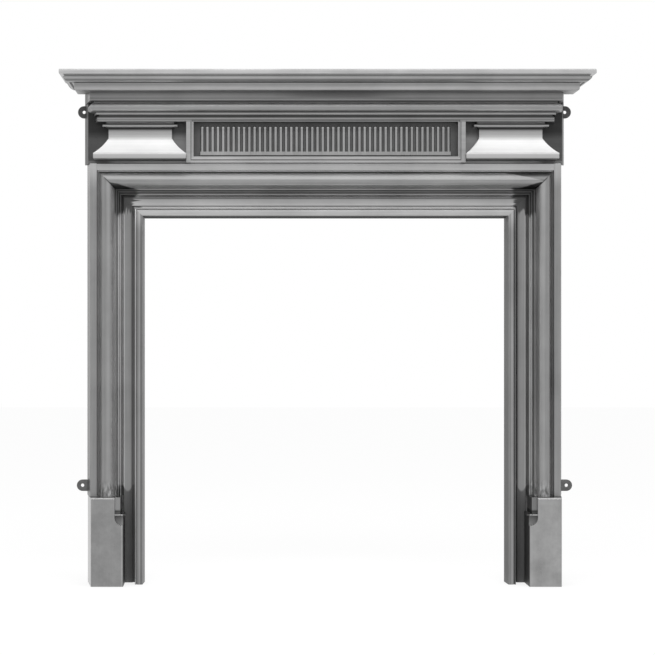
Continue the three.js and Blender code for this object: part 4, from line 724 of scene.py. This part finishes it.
def plinth_iron():
    nodes = Nodes("plinth_iron")
    side = nodes.math("ABSOLUTE", nodes.x)
    right = nodes.right_half(MIDDLE_BLEND)
    clouds = nodes.noise(PLINTH_CELLS, detail=5.0, roughness=0.65, offset=(2.0, 5.0, 1.0))
    tone = nodes.times(nodes.scaled(clouds, *PLINTH_TONES), nodes.scaled(right, *PLINTH_SHADES))
    # Painted highlight along the plinths' outer arrises
    tone = nodes.mix_value(nodes.step(side, *OUTER_EDGE_HIGHLIGHT), tone, HIGHLIGHT_TONE)
    tone = nodes.mix_value(nodes.step(nodes.z, *TOP_FADE), tone, LIGHT)
    in_notch = nodes.times(nodes.step(nodes.y, *NOTCH_RISE), nodes.step(side, *NOTCH_EDGE))
    # Painted light and shade in the notch
    tone = nodes.mix_value(in_notch, tone, notch_light_and_shade(nodes, right))
    # The left plinth's inner arris is lighter
    left = nodes.math("SUBTRACT", 1.0, right)
    arris = nodes.times(left, nodes.step(side, *INNER_ARRIS))
    tone = nodes.times(tone, nodes.scaled(arris, 1.0, ARRIS_LIGHTER))
    tone = nodes.mix_value(nodes.step(side, *INNER_SIDE), tone, INNER_SIDE_TONE)
    return iron(nodes, tone, "Z", streak=FAINT_STREAK)


# ---- Backs, lugs and fasteners ----
SKIN_CELLS = 60.0
SKIN_TONES = (0.035, 0.085)
LUG_TONES = (0.050, 0.130)
LOWER_LUGS_LIGHTER = 1.5
STEEL_TONES = (0.16, 0.42)
STEEL_BLUE = 0.99                # share of blue in the steel's grey
STEEL_CELLS = 300.0
STEEL_ROUGHNESS = (0.25, 0.5)
STEEL_SCRATCHES = 700.0


def cast_iron():
    nodes = Nodes("as_cast_iron")
    return iron(nodes, nodes.scaled(nodes.noise(SKIN_CELLS), *SKIN_TONES), "Z")


def lug_iron():
    """As cast too, but handled, and the lower lugs are the lighter ones."""
    nodes = Nodes("lug_iron")
    lower = nodes.step(nodes.z, FRAME_TOP, PLINTH_TOP)
    tone = nodes.times(nodes.scaled(nodes.noise(SKIN_CELLS), *LUG_TONES),
                       nodes.scaled(lower, 1.0, LOWER_LUGS_LIGHTER))
    return iron(nodes, tone, "Z")


def fastener_steel():
    nodes = Nodes("fastener_steel")
    shader = nodes.add("ShaderNodeBsdfPrincipled")
    dark, light = ((level, level, level * STEEL_BLUE, 1.0) for level in STEEL_TONES)
    nodes.link(nodes.mix(nodes.noise(STEEL_CELLS), dark, light), shader.inputs["Base Color"])
    shader.inputs["Metallic"].default_value = 1.0
    nodes.link(nodes.scaled(nodes.noise(STEEL_SCRATCHES), *STEEL_ROUGHNESS), shader.inputs["Roughness"])
    nodes.link(shader.outputs[0], nodes.output.inputs["Surface"])
    return nodes.material


jamb_material = jamb_iron()
plinth_material = plinth_iron()
block_material = height_iron("block_iron", BLOCK_TONES, BLOCK_FINISH, FAINT_STREAK)
cast_material = cast_iron()
lug_material = lug_iron()
steel_material = fastener_steel()

# ================= Pieces =================

FLAT = math.radians(0.3)         # faces this near to one plane are made one
SHARP = math.radians(24.0)       # edges over this angle are eased
SAME_PLACE = 1e-6
ON_PLANE = 1e-5
FACING = 0.99                    # the least cosine of a face that looks along Y
EASED = 0.0007
PANEL_EASED = 0.0003
BLOCK_EASED = 0.0022
PLINTH_EASED = 0.0012
LUG_EASED = 0.0008
NORMAL_WEIGHT = 90               # over 50, large faces count for more in the normals
JOINT_REACH = 0.0008             # edges this near to a joint between castings are left sharp
MITRE_CLOSE = 0.0004             # the header's joint faces are drawn up to the jambs' by this much
BUTT_CLOSE = 0.00028
SPOT_INSET = 0.0002              # where a face is tested for what hides it: in from its edge, and off it
SPOT_LIFT = 0.0001
TO_FRONT = Vector((0.0, -1.0, 0.0))
TO_WALL = Vector((0.0, 1.0, 0.0))


def on_joint(corner):
    """Whether a corner lies in the joint between the header and a jamb."""
    side = FRAME_HALF - abs(corner.x)
    drop = FRAME_TOP - corner.z
    butt = abs(side - MARGIN) < JOINT_REACH and drop < MARGIN + JOINT_REACH
    return butt or abs(side - drop) < JOINT_REACH


def draw_up(mesh):
    """Draws the header's joint faces out to the jambs, so that no light shows through the joint."""
    for vertex in mesh.verts:
        if on_joint(vertex.co):
            butt = abs(FRAME_HALF - abs(vertex.co.x) - MARGIN) < JOINT_REACH
            shift = BUTT_CLOSE if butt else MITRE_CLOSE
            vertex.co.x += math.copysign(shift, vertex.co.x)


def on_panel_front(face):
    return abs(face.calc_center_median().y - PANEL_FRONT) < ON_PLANE and abs(face.normal.y) > FACING


def lies_in_groove(face):
    """Whether a face of the panel's front lies in the stiles' part of the groove, or in the rail's."""
    centre = face.calc_center_median()
    side = abs(centre.x)
    upright = GROOVE_SIDE[0] < side < GROOVE_SIDE[1] and GROOVE_RAIL[0] < centre.z < BAND_FOOT
    level = side < GROOVE_SIDE[1] and GROOVE_RAIL[0] < centre.z < GROOVE_RAIL[1]
    return on_panel_front(face) and (upright or level)


def cut_groove(mesh):
    """Sinks the fine groove into the front of the centre panel's frame."""
    bmesh.ops.triangulate(mesh, faces=[face for face in mesh.faces if on_panel_front(face)])
    cuts = [((sign * x, 0.0, 0.0), (1.0, 0.0, 0.0)) for sign in (-1, 1) for x in GROOVE_SIDE]
    cuts += [((0.0, 0.0, z), (0.0, 0.0, 1.0)) for z in GROOVE_RAIL]
    for place, normal in cuts:
        geometry = mesh.verts[:] + mesh.edges[:] + mesh.faces[:]
        bmesh.ops.bisect_plane(mesh, geom=geometry, dist=SAME_PLACE, plane_co=place, plane_no=normal)
    groove = [face for face in mesh.faces if lies_in_groove(face)]
    sunk = bmesh.ops.extrude_face_region(mesh, geom=groove)
    bmesh.ops.delete(mesh, geom=groove, context="FACES")
    floor_verts = [item for item in sunk["geom"] if isinstance(item, bmesh.types.BMVert)]
    bmesh.ops.translate(mesh, verts=floor_verts, vec=(0.0, GROOVE_CUT, 0.0))
    bmesh.ops.dissolve_limit(mesh, angle_limit=FLAT, verts=mesh.verts, edges=mesh.edges)


def leave_as_cast(mesh):
    """Gives the second material to faces that are open to the wall and hidden from the front."""
    casting = BVHTree.FromBMesh(mesh)
    for face in mesh.faces:
        votes = 0
        for loop in face.loops:
            start, end = loop.vert.co, loop.link_loop_next.vert.co
            inward = face.normal.cross(end - start).normalized()
            spot = (start + end) / 2 + inward * SPOT_INSET + face.normal * SPOT_LIFT
            hidden = casting.ray_cast(spot, TO_FRONT)[0] is not None
            open_behind = casting.ray_cast(spot, TO_WALL)[0] is None
            votes += 1 if hidden and open_behind else -1
        face.material_index = 1 if votes > 0 else 0


def ease_arrises(mesh, bevel, joint):
    """Rounds the sharp edges off, but leaves those in a joint sharp."""
    shared = [edge for edge in mesh.edges if len(edge.link_faces) == 2]
    sharp = [edge for edge in shared if edge.calc_face_angle(0.0) > SHARP]
    if joint:
        at_joint = [edge for edge in sharp if all(joint(vertex.co) for vertex in edge.verts)]
        sharp = [edge for edge in sharp if edge not in at_joint]
        for edge in at_joint:
            edge.smooth = False
    bmesh.ops.bevel(mesh, geom=sharp, offset=bevel, segments=2, profile=0.5, affect="EDGES",
                    clamp_overlap=True, harden_normals=False)


def dressed(node, material, bevel=EASED, joint=None, reshape=None):
    """A copy of a CAD casting with its arrises eased, polished in front only, which stands for the node."""
    source = NODES[node]
    mesh = bmesh.new()
    mesh.from_mesh(source.data)
    mesh.transform(source.matrix_world)
    bmesh.ops.remove_doubles(mesh, verts=mesh.verts, dist=SAME_PLACE)
    bmesh.ops.dissolve_limit(mesh, angle_limit=FLAT, verts=mesh.verts, edges=mesh.edges)
    if reshape:
        reshape(mesh)
    ease_arrises(mesh, bevel, joint)
    leave_as_cast(mesh)
    for face in mesh.faces:
        face.smooth = True
    data = bpy.data.meshes.new(node + "_looks")
    mesh.to_mesh(data)
    mesh.free()
    piece = bpy.data.objects.new(node + "_looks", data)
    scene.collection.objects.link(piece)
    normals = piece.modifiers.new("normals", "WEIGHTED_NORMAL")
    normals.weight = NORMAL_WEIGHT
    normals.keep_sharp = True
    data.materials.append(material)
    data.materials.append(cast_material)
    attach(piece, "root")
    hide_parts(node)


dressed("mantel_shelf", height_iron("shelf_iron", SHELF_TONES, SHELF_FINISH))
dressed("frieze", frieze_iron(), reshape=cut_groove)
dressed("reeded_panel", panel_iron(), bevel=PANEL_EASED)
dressed("header", header_iron(), joint=on_joint, reshape=draw_up)
for side in ("left", "right"):
    dressed("corner_block_" + side, block_material, bevel=BLOCK_EASED)
    dressed("jamb_" + side, jamb_material, joint=on_joint)
    dressed("plinth_" + side, plinth_material, bevel=PLINTH_EASED)
    for level in ("top", "bottom"):
        dressed("lug_" + level + "_" + side, lug_material, bevel=LUG_EASED)

for name, node in NODES.items():
    if any(word in name for word in ("bolt", "nut", "screw")):
        node.data.materials.clear()
        node.data.materials.append(steel_material)

# ================= Stage and light =================

WORLD_LEVEL = 0.95
WHITE = (1.0, 1.0, 1.0, 1.0)
FLOOR_TONE = 0.93
FLOOR_HALF = 12.0
FLOOR_Z = -0.0005
FLOOR_GLOW = 0.8                 # share of plain white in what the camera sees of the floor


def pale_floor():
    """Pale and diffuse under the light, and nearly white where it is seen."""
    nodes = Nodes("floor_pale")
    matt = nodes.add("ShaderNodeBsdfDiffuse")
    matt.inputs["Color"].default_value = (FLOOR_TONE, FLOOR_TONE, FLOOR_TONE, 1.0)
    glow = nodes.add("ShaderNodeEmission")
    mixed = nodes.add("ShaderNodeMixShader")
    nodes.link(nodes.times(nodes.seen_directly(), FLOOR_GLOW), mixed.inputs["Fac"])
    nodes.link(matt.outputs[0], mixed.inputs[1])
    nodes.link(glow.outputs[0], mixed.inputs[2])
    nodes.link(mixed.outputs[0], nodes.output.inputs["Surface"])
    return nodes.material


def add_floor():
    corners = [(FLOOR_HALF * x, FLOOR_HALF * y, FLOOR_Z) for x, y in ((-1, -1), (1, -1), (1, 1), (-1, 1))]
    data = bpy.data.meshes.new("floor")
    data.from_pydata(corners, [], [(0, 1, 2, 3)])
    floor = bpy.data.objects.new("floor", data)
    scene.collection.objects.link(floor)
    data.materials.append(pale_floor())


def add_world():
    """White where it is seen, and a little weaker as light."""
    world = bpy.data.worlds.new("studio")
    scene.world = world
    world.use_nodes = True
    nodes = Tree(world.node_tree)
    strength = nodes.add("ShaderNodeMapRange")
    strength.inputs["To Min"].default_value = WORLD_LEVEL
    strength.inputs["To Max"].default_value = 1.0
    nodes.link(nodes.seen_directly(), strength.inputs["Value"])
    background = nodes.add("ShaderNodeBackground")
    nodes.link(strength.outputs["Result"], background.inputs["Strength"])
    background.inputs["Color"].default_value = WHITE
    output = nodes.add("ShaderNodeOutputWorld")
    nodes.link(background.outputs[0], output.inputs["Surface"])


def softbox(name, place, target, width, height, power):
    """A rectangular lamp that faces its target with level long sides."""
    data = bpy.data.lights.new(name, "AREA")
    data.shape = "RECTANGLE"
    data.size = width
    data.size_y = height
    data.energy = power
    lamp = bpy.data.objects.new(name, data)
    lamp.location = place
    direction = [there - here for here, there in zip(place, target)]
    length = math.sqrt(sum(part * part for part in direction))
    yaw = math.atan2(direction[1], direction[0])
    lamp.rotation_euler = (math.acos(-direction[2] / length), 0.0, yaw - math.radians(90.0))
    scene.collection.objects.link(lamp)


add_floor()
add_world()
softbox("softbox_top", place=(0.0, -0.95, 2.35), target=(0.0, -0.1, 1.1), width=2.6, height=0.9, power=32.0)
